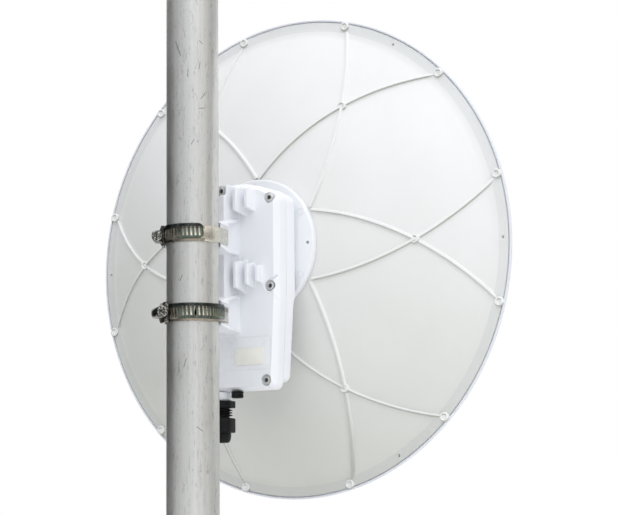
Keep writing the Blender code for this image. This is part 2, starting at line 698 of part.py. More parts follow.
def cover_screws(steel):
    """Seven socket-head screws, each in its pocket, with a six-sided socket in the head."""
    for place, (across, up, seat) in COVER_SCREWS.items():
        floor = seat - POCKET_DEPTH + GAP
        top = floor + SCREW_HEAD_HEIGHT
        profile = [(0, floor - SCREW_LENGTH), (SCREW_SHANK_RADIUS, floor - SCREW_LENGTH),
                   (SCREW_SHANK_RADIUS, floor), (SCREW_HEAD_RADIUS, floor),
                   (SCREW_HEAD_RADIUS, top - SCREW_HEAD_EDGE),
                   (SCREW_HEAD_RADIUS - SCREW_HEAD_EDGE, top), (0, top)]
        screw = dish_turned(f"cover_screw_{place}", profile, 16, steel, across=across, up=up)
        socket = [(across + x, DISH_HEIGHT + up + z) for x, z in hexagon(SOCKET_RADIUS)]
        combine(screw, prism(f"socket_{place}", socket, "Y", y_of(top - SOCKET_DEPTH),
                             y_of(top + OVERLAP)), "DIFFERENCE")


def labels(white_film, cream_film):
    """A blank rating label in the recess, with a smaller blank sticker on it."""
    low = COVER_BACK - LABEL_RECESS + GAP
    prism("label_plate", label_outline(LABEL_INSET), "Y", y_of(low), y_of(low + LABEL_THICKNESS),
          white_film)
    right = -STICKER_LEFT
    top = DISH_HEIGHT + STICKER_TOP
    sticker = [(right, top), (right - STICKER_WIDTH, top),
               (right - STICKER_WIDTH, top - STICKER_HEIGHT), (right, top - STICKER_HEIGHT)]
    face = low + LABEL_THICKNESS + GAP
    prism("label_sticker", sticker, "Y", y_of(face), y_of(face + STICKER_THICKNESS), cream_film)


def vent_and_gland(black, white, rubber):
    """A vent plug and a cable gland hang from the bottom of the rear cover."""
    top = COVER_BOTTOM - GAP
    vent_end = top - VENT_LENGTH
    upright_turned("vent_plug", [(0, top), (VENT_RADIUS, top), (VENT_RADIUS, vent_end + VENT_EDGE),
                                 (VENT_RADIUS - VENT_EDGE, vent_end), (0, vent_end)],
                   0.0, VENT_BEHIND, 24, black)
    boss_end = top - GLAND_BOSS_LENGTH
    upright_turned("gland_boss", [(0, top), (GLAND_BOSS_RADIUS, top), (GLAND_BOSS_RADIUS, boss_end),
                                  (0, boss_end)], GLAND_ACROSS, GLAND_BEHIND, 32, white)

    start = boss_end - GAP
    neck = start - GLAND_FLANGE_LENGTH
    end = neck - GLAND_THREAD_LENGTH
    centre = (GLAND_ACROSS, y_of(GLAND_BEHIND))
    blind = neck + OVERLAP
    inside = (start + blind) / 2
    body = upright_turned("gland_body", [(GLAND_BORE, blind), (0, blind), (0, inside),
                                         (GLAND_THREAD_RADIUS, inside),
                                         (GLAND_THREAD_RADIUS, end), (GLAND_BORE, end)],
                          GLAND_ACROSS, GLAND_BEHIND, 32, black)
    six_sides = [(centre[0] + x, centre[1] + y)
                 for x, y in hexagon(GLAND_FLANGE_RADIUS, GLAND_FLANGE_TURN)]
    ring = prism("gland_flange", six_sides, "Z", DISH_HEIGHT + neck, DISH_HEIGHT + start)
    combine(ring, upright_turned("flange_bore", [(0, neck - OVERLAP), (GLAND_BORE, neck - OVERLAP),
                                                 (GLAND_BORE, blind), (0, blind)],
                                 GLAND_ACROSS, GLAND_BEHIND, 32), "DIFFERENCE")
    combine(body, ring, "UNION")

    nut_start = start - GLAND_NUT_START
    nut_end = nut_start - GLAND_NUT_LENGTH
    dome_end = nut_end - GLAND_DOME[-1][1]
    nut = prism("gland_nut", six_sides, "Z", DISH_HEIGHT + nut_end, DISH_HEIGHT + nut_start, black)
    profile = [(0, nut_end + OVERLAP), (GLAND_DOME[0][0], nut_end + OVERLAP)]
    profile += [(radius, nut_end - depth) for radius, depth in GLAND_DOME[1:]] + [(0, dome_end)]
    dome = upright_turned("nut_dome", profile, GLAND_ACROSS, GLAND_BEHIND, 32)
    combine(nut, dome, "UNION")
    clearance = GLAND_THREAD_RADIUS + GAP
    above, below = nut_start + OVERLAP, dome_end - OVERLAP
    bore = upright_turned("nut_bore", [(0, above), (clearance, above), (clearance, end - GAP),
                                       (GLAND_BORE + GAP, end - GAP), (GLAND_BORE + GAP, below),
                                       (0, below)],
                          GLAND_ACROSS, GLAND_BEHIND, 32)
    combine(nut, bore, "DIFFERENCE")
    seal_top, seal_end = end + GLAND_SEAL_START, dome_end + GLAND_SEAL_INSET
    upright_turned("gland_seal", [(GLAND_SEAL_BORE, seal_top), (GLAND_BORE - GAP, seal_top),
                                  (GLAND_BORE - GAP, seal_end), (GLAND_SEAL_BORE, seal_end)],
                   GLAND_ACROSS, GLAND_BEHIND, 24, rubber)


def arc_points(start, end, step):
    """Points on the inner face of a band round the pole, between two bearings."""
    side = POLE_RADIUS + BAND_CLEARANCE
    count = max(1, round((end - start) / step))
    angles = [start + (end - start) * i / count for i in range(count + 1)]
    return [Vector((side * math.cos(a), side * math.sin(a))) for a in angles]


def offset_path(path, distance, closed=True):
    """Move each point of a line out along the mean normal of its two edges."""
    moved = []
    count = len(path)
    for index, here in enumerate(path):
        before = path[index - 1] if closed or index else here
        after = path[(index + 1) % count] if closed or index + 1 < count else here
        one = (here - before).normalized() if (here - before).length > 0 else None
        two = (after - here).normalized() if (after - here).length > 0 else None
        one = one or two
        two = two or one
        along = (one + two).normalized()
        outward = Vector((along.y, -along.x))
        moved.append(here + outward * distance / along.dot(one))
    return moved


def walk(line, distance):
    """The point at a distance along a line, and the line's direction there."""
    for here, after in zip(line, line[1:]):
        span = (after - here).length
        if distance <= span:
            break
        distance -= span
    way = (after - here).normalized()
    return here + way * min(distance, span), way


def band_solid(name, line, middle, halves, closed):
    """A band along a line in plan, that rises a little toward the saddle."""
    shape = bmesh.new()
    loops = []
    for inner, outer, half in zip(line, offset_path(line, BAND_THICKNESS, closed), halves):
        centre = middle + max(0.0, BAND_RISE_START - inner.y) * BAND_RISE
        corners = ((inner, -half), (outer, -half), (outer, half), (inner, half))
        loops.append([shape.verts.new((p.x, p.y, centre + z)) for p, z in corners])
    following = loops[1:] + (loops[:1] if closed else [])
    for first, second in zip(loops, following):
        for i in range(4):
            shape.faces.new((first[i - 1], first[i], second[i], second[i - 1]))
    if not closed:
        shape.faces.new(loops[0])
        shape.faces.new(reversed(loops[-1]))
    return object_from(name, shape)


def band_tail(name, middle, housing_at, tail_end):
    """The band's free end: over the band, under the housing, round-ended and slotted."""
    corner = band_run(BAND_BACK)
    line = arc_points(housing_at - TAIL_HIDDEN, math.pi + BAND_LEAVES, 0.05)
    line = offset_path(line + [Vector((-corner.x, corner.y))], BAND_THICKNESS - TAIL_OVERLAP, False)
    side = POLE_RADIUS + BAND_CLEARANCE + BAND_THICKNESS
    length = (math.pi - housing_at + TAIL_HIDDEN) * side + tail_end
    straight = length - TAIL_CORNER
    count = round(straight / TAIL_STEP)
    places = [straight * i / count for i in range(count + 1)]
    halves = [BAND_WIDTH / 2] * len(places)
    for angle in (25, 50, 70, 90):
        turn = math.radians(angle)
        places.append(straight + TAIL_CORNER * math.sin(turn))
        halves.append(BAND_WIDTH / 2 - TAIL_CORNER * (1 - math.cos(turn)))
    tail = band_solid(name, [walk(line, place)[0] for place in places], middle, halves, False)

    cutters = []
    place = length - SLOT_FROM_END
    while place > (2 * TAIL_HIDDEN) * side:
        spot, way = walk(line, place)
        aside = Vector((way.y, -way.x, 0))
        centre = middle + max(0.0, BAND_RISE_START - spot.y) * BAND_RISE
        stand = (Matrix.Translation((spot.x, spot.y, centre)) @ Matrix.Rotation(SLOT_LEAN, 4, aside)
                 @ Matrix((way.to_3d(), aside, (0, 0, 1))).transposed().to_4x4())
        shape = bmesh.new()
        bmesh.ops.create_cube(shape, size=1, matrix=stand @ Matrix.Diagonal(
            (SLOT_WIDTH, 4 * BAND_THICKNESS, SLOT_HEIGHT, 1)))
        cutters.append(object_from("slot", shape))
        place -= SLOT_PITCH
    return combine(tail, merged(f"{name}_slots", cutters), "DIFFERENCE")


def hose_clamp(name, band_at, bearing, housing_middle, tail_end, steel):
    """A worm-drive hose clamp: band with its free tail, worm housing and screw."""
    side = POLE_RADIUS + BAND_CLEARANCE
    arc = arc_points(-BAND_LEAVES, math.pi + BAND_LEAVES, 0.1)
    corner = band_run(BAND_BACK)
    path = arc[1:-1] + rounded([(*arc[-1], 0), (-corner.x, corner.y, BAND_BEND),
                                (corner.x, corner.y, BAND_BEND), (*arc[0], 0)], 3)
    band = band_solid(f"{name}_band", path, band_at, [BAND_WIDTH / 2] * len(path), True)
    band.data.materials.append(steel)
    tail = band_tail(f"{name}_tail", band_at + TAIL_LIFT, bearing, tail_end)
    combine(band, tail, "UNION")

    radial = Vector((math.cos(bearing), math.sin(bearing), 0))
    tangent = Vector((-radial.y, radial.x, 0))
    place = Matrix((radial, (0, 0, 1), tangent)).transposed().to_4x4()
    half = HOUSING_HEIGHT / 2
    half_length = HOUSING_LENGTH / 2
    wide = BAND_WIDTH / 2 + HOUSING_LIP
    foot = side + HOUSING_FOOT
    neck = foot + HOUSING_NECK
    top = WORM_OFFSET + half
    section = rounded([(side, -wide, 0), (foot, -wide, 0), (neck, -half, 0),
                       (top, -half, HOUSING_CORNER), (top, half, HOUSING_CORNER),
                       (neck, half, 0), (foot, wide, 0), (side, wide, 0)], 4)
    housing = prism(f"{name}_housing", section, "Z", -half_length, half_length, steel)
    housing.matrix_world = Matrix.Translation((0, 0, housing_middle)) @ place
    bore = WORM_RADIUS + GAP
    past = half_length + OVERLAP
    cutter = turned(f"{name}_worm_bore", [(0, -past), (bore, -past), (bore, past), (0, past)],
                    (WORM_OFFSET, 0, 0), (0, 0, 1), 24)
    cutter.matrix_world = housing.matrix_world
    combine(housing, cutter, "DIFFERENCE")
    seat = side + 2 * BAND_THICKNESS + GAP
    under = turned(f"{name}_seat", [(0, -past), (seat, -past), (seat, past), (0, past)],
                   (0, 0, housing_middle), (0, 0, 1), 60)
    combine(housing, under, "DIFFERENCE")

    head = half_length + GAP
    top = head + WORM_HEAD_LENGTH
    start = WORM_INSET - half_length
    screw = turned(f"{name}_screw", [(0, start), (WORM_RADIUS, start), (WORM_RADIUS, head),
                                     (WORM_HEAD_RADIUS, head), (WORM_HEAD_RADIUS, top), (0, top)],
                   (WORM_OFFSET, 0, 0), (0, 0, 1), 24, steel)
    screw.matrix_world = housing.matrix_world
    narrow = DRIVER_SLOT_HALF_WIDTH
    left = WORM_OFFSET - WORM_HEAD_RADIUS - OVERLAP
    right = WORM_OFFSET + WORM_HEAD_RADIUS + OVERLAP
    slot = [(left, -narrow), (right, -narrow), (right, narrow), (left, narrow)]
    groove = prism(f"{name}_screw_slot", slot, "Z", top - DRIVER_SLOT_DEPTH, top + OVERLAP)
    groove.matrix_world = housing.matrix_world
    combine(screw, groove, "DIFFERENCE")


def feed(white, aluminium, steel):
    """The feed: a flange on the neck, a round waveguide and a plastic head with its reflector."""
    back = FEED_FLANGE_FRONT + FEED_FLANGE_THICKNESS
    dish_turned("feed_flange", [(0, back), (FEED_FLANGE_RADIUS, back),
                                (FEED_FLANGE_RADIUS, FEED_FLANGE_FRONT + FEED_FLANGE_EDGE),
                                (FEED_FLANGE_RADIUS - FEED_FLANGE_EDGE, FEED_FLANGE_FRONT),
                                (0, FEED_FLANGE_FRONT)], 48, white)
    tube_back = FEED_FLANGE_FRONT - GAP
    dish_turned("feed_tube", [(0, tube_back), (FEED_TUBE_RADIUS, tube_back),
                              (FEED_TUBE_RADIUS, FEED_TUBE_FRONT), (0, FEED_TUBE_FRONT)], 48, white)
    cone_back = FEED_TUBE_FRONT - GAP
    dish_turned("feed_cone", [(0, cone_back), (FEED_TUBE_RADIUS + FEED_CONE_LIP, cone_back),
                              (FEED_TUBE_RADIUS + FEED_CONE_STEP, cone_back - FEED_CONE_COLLAR),
                              (FEED_DISC_RADIUS - FEED_CONE_LIP, FEED_CONE_FRONT),
                              (0, FEED_CONE_FRONT)], 48, white)
    disc_back = FEED_CONE_FRONT - GAP
    disc_front = disc_back - FEED_DISC_THICKNESS
    dish_turned("sub_reflector", [(0, disc_back), (FEED_DISC_RADIUS, disc_back),
                                  (FEED_DISC_RADIUS, disc_front), (0, disc_front)], 48, aluminium)
    cap_back = disc_front - GAP
    cap_front = cap_back - FEED_CAP_THICKNESS
    dish_turned("feed_cap", [(0, cap_back), (FEED_DISC_RADIUS, cap_back),
                             (FEED_DISC_RADIUS, cap_front + FEED_CAP_EDGE),
                             (FEED_DISC_RADIUS - FEED_CAP_EDGE, cap_front + FEED_CAP_DOME),
                             (0, cap_front)], 48, white)
    seat = FEED_FLANGE_FRONT - GAP
    top = seat - FLANGE_SCREW_HEIGHT
    for number in range(4):
        spot = dish_point(FLANGE_SCREW_CIRCLE, FLANGE_SCREW_ANGLE + number * math.pi / 2, 0)
        dish_turned(f"flange_screw_{number + 1}",
                    [(0, seat), (FLANGE_SCREW_RADIUS, seat),
                     (FLANGE_SCREW_RADIUS, top + FLANGE_SCREW_EDGE),
                     (FLANGE_SCREW_RADIUS - FLANGE_SCREW_EDGE, top), (0, top)], 16, steel,
                    across=spot.x, up=spot.z - DISH_HEIGHT)


clear_scene()
galvanised = finish_of("galvanised_steel", (0.62, 0.61, 0.58), 0.45, 0.9)
stainless = finish_of("stainless_steel", (0.42, 0.42, 0.38), 0.25, 1.0)
dish_plastic = finish_of("dish_plastic", (0.86, 0.86, 0.85), 0.45)
box_paint = finish_of("box_paint", (0.84, 0.86, 0.90), 0.5)
feed_plastic = finish_of("feed_plastic", (0.85, 0.85, 0.84), 0.4)
black_plastic = finish_of("black_plastic", (0.02, 0.02, 0.02), 0.45)
seal_rubber = finish_of("seal_rubber", (0.10, 0.10, 0.10), 0.7)
bare_aluminium = finish_of("bare_aluminium", (0.75, 0.75, 0.76), 0.3, 1.0)
label_film = finish_of("label_film", (0.88, 0.88, 0.90), 0.4)
cream_paper = finish_of("cream_paper", (0.80, 0.79, 0.70), 0.6)

pole(galvanised, black_plastic)
reflector(dish_plastic)
hub_plate(dish_plastic)
radio_base(box_paint)
lid_gasket(seal_rubber)
rear_cover(box_paint)
cover_screws(stainless)
labels(label_film, cream_paper)
vent_and_gland(black_plastic, box_paint, seal_rubber)
for clamp, band_at, bearing, housing_at, tail_end in zip(
        ("upper_clamp", "lower_clamp"), BAND_MIDDLES, HOUSING_BEARINGS, HOUSING_MIDDLES, TAIL_ENDS):
    hose_clamp(clamp, DISH_HEIGHT + band_at, bearing, DISH_HEIGHT + housing_at, tail_end, stainless)
feed(feed_plastic, bare_aluminium, stainless)
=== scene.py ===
"""The looks of a 400 mm dish antenna, seen from behind on its pole.

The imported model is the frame. Each section below takes one piece, or one group of like
pieces, in the order in which they are put together: its sizes, its mesh, its material and
what carries it. Metres, +Z up, the pole on the Z axis, the dish looking along -Y.
"""
import math

import bmesh
import bpy
from mathutils import Matrix, Vector


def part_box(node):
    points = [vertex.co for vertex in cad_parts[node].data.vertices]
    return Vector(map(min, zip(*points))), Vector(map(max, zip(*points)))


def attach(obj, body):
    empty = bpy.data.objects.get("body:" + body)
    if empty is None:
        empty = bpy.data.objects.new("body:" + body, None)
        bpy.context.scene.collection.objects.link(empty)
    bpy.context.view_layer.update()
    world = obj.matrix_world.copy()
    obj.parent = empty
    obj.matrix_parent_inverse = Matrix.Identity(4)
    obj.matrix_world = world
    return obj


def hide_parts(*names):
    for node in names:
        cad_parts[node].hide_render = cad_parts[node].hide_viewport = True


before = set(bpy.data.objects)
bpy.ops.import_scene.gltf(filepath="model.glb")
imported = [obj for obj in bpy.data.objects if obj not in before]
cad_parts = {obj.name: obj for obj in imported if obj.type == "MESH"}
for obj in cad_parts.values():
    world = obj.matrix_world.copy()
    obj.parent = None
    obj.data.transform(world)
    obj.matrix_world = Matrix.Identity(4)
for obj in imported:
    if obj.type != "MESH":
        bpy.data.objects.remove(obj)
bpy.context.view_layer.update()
scene = bpy.context.scene

# Camera. It stands behind the dish, 32.6 degrees to one side and 8 degrees below the
# dish's centre line, and looks up along the photograph's own line of sight.
CAMERA_PLACE = (-0.9369, 1.2996, 0.0584)
CAMERA_HEADING = math.radians(212.58)
CAMERA_RISE = math.radians(7.95)
CAMERA_ROLL = math.radians(-0.522)
CAMERA_LENS = 122.06
CAMERA_SHIFT = 0.0011
camera = bpy.data.objects.new("camera", bpy.data.cameras.new("camera"))
scene.collection.objects.link(camera)
camera.matrix_world = (Matrix.Translation(CAMERA_PLACE)
                       @ Matrix.Rotation(CAMERA_HEADING, 4, "Z")
                       @ Matrix.Rotation(math.pi / 2 + CAMERA_RISE, 4, "X")
                       @ Matrix.Rotation(CAMERA_ROLL, 4, "Z"))
camera.data.sensor_width = 36
camera.data.lens = CAMERA_LENS
camera.data.shift_y = CAMERA_SHIFT
camera.data.clip_start = 0.01
scene.camera = camera

# Studio. A white tent, brightest overhead, with broad soft lights toward the camera, to its
# right and behind the dish, a weak softbox, and two dark cards on the left: a tall one that only
# reflections see, for the pole's edge, and a low one that only shades.
TENT_LIGHTS = (((0, 0, 1), 1, (1.56, 1.565, 1.59)),
               ((-0.585, 0.811, 1), 3, (0.64, 0.67, 0.715)),
               ((-1.396, 0.226, 1), 4, (0.295, 0.26, 0.23)),
               ((0.585, -0.811, 0), 2, (0.72, 0.72, 0.715)))
SOFTBOX_PLACE = Vector((-1.1, 0.8, 1.7))
SOFTBOX_SIZE = 1.0
SOFTBOX_WATTS = 1.5
STUDIO_MIDDLE = Vector((0, -0.05, 0.32))
FLOOR_HALF = 3.0
FLOOR_DROP = 0.0005
EDGE_CARD_PLACE = Vector((0.80, 0.03, 0.22))
EDGE_CARD_HALF = 0.56
LOW_CARD_PLACE = Vector((0.78, 0.12, 0.02))
LOW_CARD_HALF = 0.42


def add(tree, kind, **values):
    """A new node; values whose names are sockets are set on them, the rest on the node."""
    node = tree.nodes.new("ShaderNode" + kind)
    for name, value in values.items():
        socket = name.replace("_", " ")
        if socket in node.inputs and not hasattr(node, name):
            node.inputs[socket].default_value = value
        else:
            setattr(node, name, value)
    return node


def give(socket, value):
    """Give an input another node's output, or a fixed number, vector or (r, g, b) colour."""
    if isinstance(value, bpy.types.NodeSocket):
        socket.id_data.links.new(value, socket)
    else:
        socket.default_value = (*value, 1) if isinstance(value, tuple) else value


def math_of(operation, *terms):
    """One Math node, whose terms are outputs or numbers."""
    tree = next(term.id_data for term in terms if isinstance(term, bpy.types.NodeSocket))
    node = add(tree, "Math", operation=operation)
    for socket, term in zip(node.inputs, terms):
        give(socket, term)
    return node.outputs[0]


def vector_of(operation, first, second=(0, 0, 0)):
    """One Vector Math node: its number for a length or a dot product, and otherwise its vector."""
    node = add(first.id_data, "VectorMath", operation=operation)
    give(node.inputs[0], first)
    give(node.inputs[1], Vector(second))
    return node.outputs["Value" if operation in ("LENGTH", "DOT_PRODUCT") else "Vector"]


def finish(name, colour, roughness, metallic=0.0):
    """A Principled material, and its shader."""
    material = bpy.data.materials.new(name)
    material.use_nodes = True
    shader = material.node_tree.nodes["Principled BSDF"]
    give(shader.inputs["Base Color"], colour)
    give(shader.inputs["Roughness"], roughness)
    give(shader.inputs["Metallic"], metallic)
    return material, shader


def in_scene(name, shape):
    """A bmesh written into a new object at the origin."""
    made = bpy.data.objects.new(name, bpy.data.meshes.new(name))
    shape.to_mesh(made.data)
    shape.free()
    scene.collection.objects.link(made)
    return made


def board(name, half, place, material):
    """A flat square of the studio, which isn't part of the antenna."""
    square = bmesh.new()
    bmesh.ops.create_grid(square, x_segments=1, y_segments=1, size=half, matrix=place)
    made = in_scene(name, square)
    made.data.materials.append(material)
    return made


scene.view_settings.view_transform = "Standard"
world = bpy.data.worlds.new("studio")
scene.world = world
world.use_nodes = True
tent = world.node_tree
tent.nodes.clear()
direction = add(tent, "TexCoord").outputs["Generated"]
total = None
for toward, sharpness, tone in TENT_LIGHTS:
    ahead = math_of("MAXIMUM", vector_of("DOT_PRODUCT", direction, Vector(toward).normalized()), 0)
    tinted = add(tent, "VectorMath", operation="MULTIPLY_ADD")
    give(tinted.inputs[0], math_of("POWER", ahead, sharpness))
    give(tinted.inputs[1], Vector(tone))
    if total:
        give(tinted.inputs[2], total)
    total = tinted.outputs[0]
sky = add(tent, "Background")
give(sky.inputs["Color"], total)
backdrop = add(tent, "Background", Color=(1, 1, 1, 1))
choose = add(tent, "MixShader")
give(choose.inputs[0], add(tent, "LightPath").outputs["Is Camera Ray"])
give(choose.inputs[1], sky.outputs[0])
give(choose.inputs[2], backdrop.outputs[0])
give(add(tent, "OutputWorld").inputs[0], choose.outputs[0])

softbox = bpy.data.objects.new("softbox", bpy.data.lights.new("softbox", "AREA"))
softbox.data.size = SOFTBOX_SIZE
softbox.data.energy = SOFTBOX_WATTS
softbox.location = SOFTBOX_PLACE
softbox.rotation_euler = (STUDIO_MIDDLE - SOFTBOX_PLACE).to_track_quat("-Z", "Y").to_euler()
scene.collection.objects.link(softbox)

floor_paint, _ = finish("floor_paint", (0.82, 0.82, 0.81), 0.6)
board("floor", FLOOR_HALF, Matrix.Translation((0, 0, -FLOOR_DROP)), floor_paint)
card_paint, _ = finish("card_paint", (0.02, 0.02, 0.02), 0.9)
for name, place, half in (("edge_card", EDGE_CARD_PLACE, EDGE_CARD_HALF),
                          ("low_card", LOW_CARD_PLACE, LOW_CARD_HALF)):
    aim = (STUDIO_MIDDLE - place).to_track_quat("Z", "Y").to_matrix().to_4x4()
    card = board(name, half, Matrix.Translation(place) @ aim, card_paint)
    card.visible_camera = False
    card.visible_diffuse = name == "low_card"
    card.visible_glossy = name == "edge_card"


# Pole. A 40.6 mm galvanised steel tube with a 2 mm wall, weathered to a warm grey, with
# upright rolling streaks, dull blotches and short scratches from handling.
POLE_RADIUS = 0.0203
POLE_WALL = 0.002
POLE_LENGTH = 0.600
EDGE_BREAK = 0.0003
SCRATCH_HALF_WIDTH = 0.00028
SCRATCH_DEPTH = 0.7
SCRATCHES = ((2.52, 0.4485, 0.0038, -0.75), (2.47, 0.4300, 0.0060, 1.4), (2.60, 0.4060, 0.0055, 0.9),
             (2.55, 0.3965, 0.0042, 0.15), (2.02, 0.4240, 0.0060, 1.5), (1.62, 0.4440, 0.0130, -1.2),
             (2.20, 0.3700, 0.0050, 1.1), (1.90, 0.2000, 0.0070, 1.3), (2.45, 0.1500, 0.0060, -0.6),
             (1.75, 0.2650, 0.0050, 1.2), (0.30, 0.4200, 0.0060, 0.6), (4.00, 0.1400, 0.0070, -0.9))


def on_object(tree, scale=(1, 1, 1), move=(0, 0, 0)):
    """Object coordinates, scaled and moved for one pattern."""
    mapping = add(tree, "Mapping", Location=move, Scale=scale)
    give(mapping.inputs["Vector"], add(tree, "TexCoord").outputs["Object"])
    return mapping.outputs["Vector"]


def noise(shader, scale, detail, roughness, stretch=(1, 1, 1)):
    """A noise pattern's value from 0 to 1, in the tree of a material's shader."""
    pattern = add(shader.id_data, "TexNoise", Scale=scale, Detail=detail, Roughness=roughness)
    give(pattern.inputs["Vector"], on_object(shader.id_data, stretch))
    return pattern.outputs["Fac"]


def ramp(value, *stops):
    """Grey or colour stops along a value."""
    node = add(value.id_data, "ValToRGB")
    while len(node.color_ramp.elements) < len(stops):
        node.color_ramp.elements.new(0.5)
    for stop, (place, tone) in zip(node.color_ramp.elements, stops):
        stop.position = place
        stop.color = (*tone, 1) if isinstance(tone, tuple) else (tone, tone, tone, 1)
    give(node.inputs[0], value)
    return node.outputs["Color"]


def vary(shader, socket, pattern, *stops):
    """Let a pattern set one of a shader's inputs, by stops along it."""
    give(shader.inputs[socket], ramp(pattern, *stops))


def blend(share, first, second, mode="MIX"):
    """Mix two colours, each an output or (r, g, b), by a share."""
    node = add(share.id_data, "Mix", data_type="RGBA", blend_type=mode)
    give(node.inputs[0], share)
    give(node.inputs[6], first)
    give(node.inputs[7], second)
    return node.outputs[2]


def stained(base, pattern, low, high, most, stain):
    """Lay a stain on a colour where a pattern is high: none at low, and the most at high."""
    return blend(ramp(pattern, (low, 0.0), (high, most)), base, stain)


def relief(shader, height, strength, distance):
    """Bump from a height."""
    bump = add(shader.id_data, "Bump", Strength=strength, Distance=distance)
    give(bump.inputs["Height"], height)
    give(shader.inputs["Normal"], bump.outputs["Normal"])


def piece(name, shape, material, replaces=(), sharp=35, recalc=True):
    """Write a bmesh into an object that rides on the root and stands for its CAD nodes."""
    if recalc:
        bmesh.ops.remove_doubles(shape, verts=shape.verts, dist=1e-6)
        bmesh.ops.recalc_face_normals(shape, faces=shape.faces)
    made = in_scene(name, shape)
    made.data.shade_smooth()
    made.data.set_sharp_from_angle(angle=math.radians(sharp))
    made.data.materials.append(material)
    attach(made, "root")
    if replaces:
        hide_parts(*replaces)
    return made


def outline(shape, points):
    """The edges of a closed outline through some points of a bmesh."""
    corners = [shape.verts.new(point) for point in points]
    return [shape.edges.new((corners[i - 1], corners[i])) for i in range(len(corners))]


def spun(profile, centre, axis, steps):
    """Spin a closed (radius, along) profile about an axis through a centre into a new bmesh."""
    shape = bmesh.new()
    centre, axis = Vector(centre), Vector(axis).normalized()
    out = Vector((1, 0, 0)) if abs(axis.x) < 0.5 else Vector((0, 0, 1))
    edges = outline(shape, [centre + out * radius + axis * along for radius, along in profile])
    edges = [e for e in edges if max((v.co - centre).cross(axis).length for v in e.verts) > 1e-7]
    bmesh.ops.spin(shape, geom=edges, cent=centre, axis=axis, dvec=(0, 0, 0), angle=math.tau,
                   steps=steps, use_merge=True, use_duplicate=False)
    bmesh.ops.delete(shape, geom=[e for e in shape.edges if not e.link_faces], context="EDGES")
    bmesh.ops.remove_doubles(shape, verts=shape.verts, dist=1e-6)
    return shape


def scratched(base, bearing, up, length, lean):
    """Darken one short scratch on the pole: its bearing, height, length and lean."""
    out = Vector((math.cos(bearing), math.sin(bearing), 0))
    across = Vector((-out.y, out.x, 0))
    along = across * math.cos(lean) + Vector((0, 0, math.sin(lean)))
    aside = across * -math.sin(lean) + Vector((0, 0, math.cos(lean)))
    centred = vector_of("SUBTRACT", on_object(base.id_data), out * POLE_RADIUS + Vector((0, 0, up)))
    mark = math_of("LESS_THAN", vector_of("LENGTH", centred), POLE_RADIUS)
    for line, half in ((along, length / 2), (aside, SCRATCH_HALF_WIDTH)):
        distance = math_of("ABSOLUTE", vector_of("DOT_PRODUCT", centred, line))
        mark = math_of("MULTIPLY", mark, math_of("LESS_THAN", distance, half))
    return blend(math_of("MULTIPLY", mark, SCRATCH_DEPTH), base, (0.10, 0.10, 0.11))


galvanised, shader = finish("galvanised_steel", (0.62, 0.62, 0.59), 0.40, 0.95)
streaks = noise(shader, 1.0, 4, 0.6, (420, 420, 4))
blotches = noise(shader, 70, 4, 0.6, (1, 1, 0.45))
specks = noise(shader, 420, 2, 0.6, (1, 1, 0.35))
fissures = noise(shader, 760, 4, 0.7, (1, 1, 0.10))
crazing = noise(shader, 330, 5, 0.75, (1, 1, 0.30))
cracked = ramp(crazing, (0.600, 0.0), (0.635, 0.6), (0.660, 0.6), (0.69, 0.1))
zinc = ramp(streaks, (0.30, (0.69, 0.695, 0.67)), (0.50, (0.735, 0.735, 0.705)),
            (0.70, (0.78, 0.78, 0.75)))
zinc = stained(zinc, fissures, 0.57, 0.68, 0.55, (0.38, 0.40, 0.40))
zinc = blend(cracked, zinc, (0.36, 0.38, 0.385))
zinc = stained(zinc, blotches, 0.42, 0.64, 0.22, (0.50, 0.53, 0.54))
zinc = stained(zinc, specks, 0.64, 0.74, 0.35, (0.40, 0.42, 0.42))
for scratch in SCRATCHES:
    zinc = scratched(zinc, *scratch)
give(shader.inputs["Base Color"], zinc)
vary(shader, "Roughness", blotches, (0.3, 0.32), (0.7, 0.44))
relief(shader, streaks, 0.08, 0.0002)

inner = POLE_RADIUS - POLE_WALL
tube = spun([(inner, EDGE_BREAK), (inner + EDGE_BREAK, 0), (POLE_RADIUS - EDGE_BREAK, 0),
             (POLE_RADIUS, EDGE_BREAK), (POLE_RADIUS, POLE_LENGTH - EDGE_BREAK),
             (POLE_RADIUS - EDGE_BREAK, POLE_LENGTH), (inner + EDGE_BREAK, POLE_LENGTH),
             (inner, POLE_LENGTH - EDGE_BREAK)], (0, 0, 0), (0, 0, 1), 128)
piece("pole_tube", tube, galvanised, ["pole"])

# Pole ends. A black polyamide plug is pressed into the foot, and a low cap with a round edge
# and the same spigot closes the top.
FIT = 0.0003
PLUG_DEPTH = 0.012
PLUG_EDGE = 0.0006
CAP_EDGE = 0.0015


def eased(corners, steps=4):
    """A profile from (x, y, radius) corners, with arcs where the radius isn't zero."""
    points = []
    for index, (x, y, radius) in enumerate(corners):
        here = Vector((x, y))
        if radius <= 0:
            points.append(here)
            continue
        before = (Vector(corners[index - 1][:2]) - here).normalized()
        after = (Vector(corners[(index + 1) % len(corners)][:2]) - here).normalized()
        half = before.angle(after) / 2
        centre = here + (before + after).normalized() * radius / math.sin(half)
        start = here + before * radius / math.tan(half) - centre
        turn = start.angle_signed(here + after * radius / math.tan(half) - centre)
        points += [centre + Matrix.Rotation(-turn * step / steps, 2) @ start
                   for step in range(steps + 1)]
    return points


black_plastic, shader = finish("black_plastic", (0.006, 0.006, 0.006), 0.38)
shader.inputs["Specular IOR Level"].default_value = 0.16
grain = noise(shader, 1500, 2, 0.5)
scuffs = noise(shader, 160, 4, 0.6, (1, 1, 0.4))
vary(shader, "Base Color", scuffs, (0.40, (0.004, 0.004, 0.0045)), (0.75, (0.012, 0.012, 0.013)))
vary(shader, "Roughness", scuffs, (0.3, 0.30), (0.7, 0.52))
relief(shader, grain, 0.2, 0.0001)

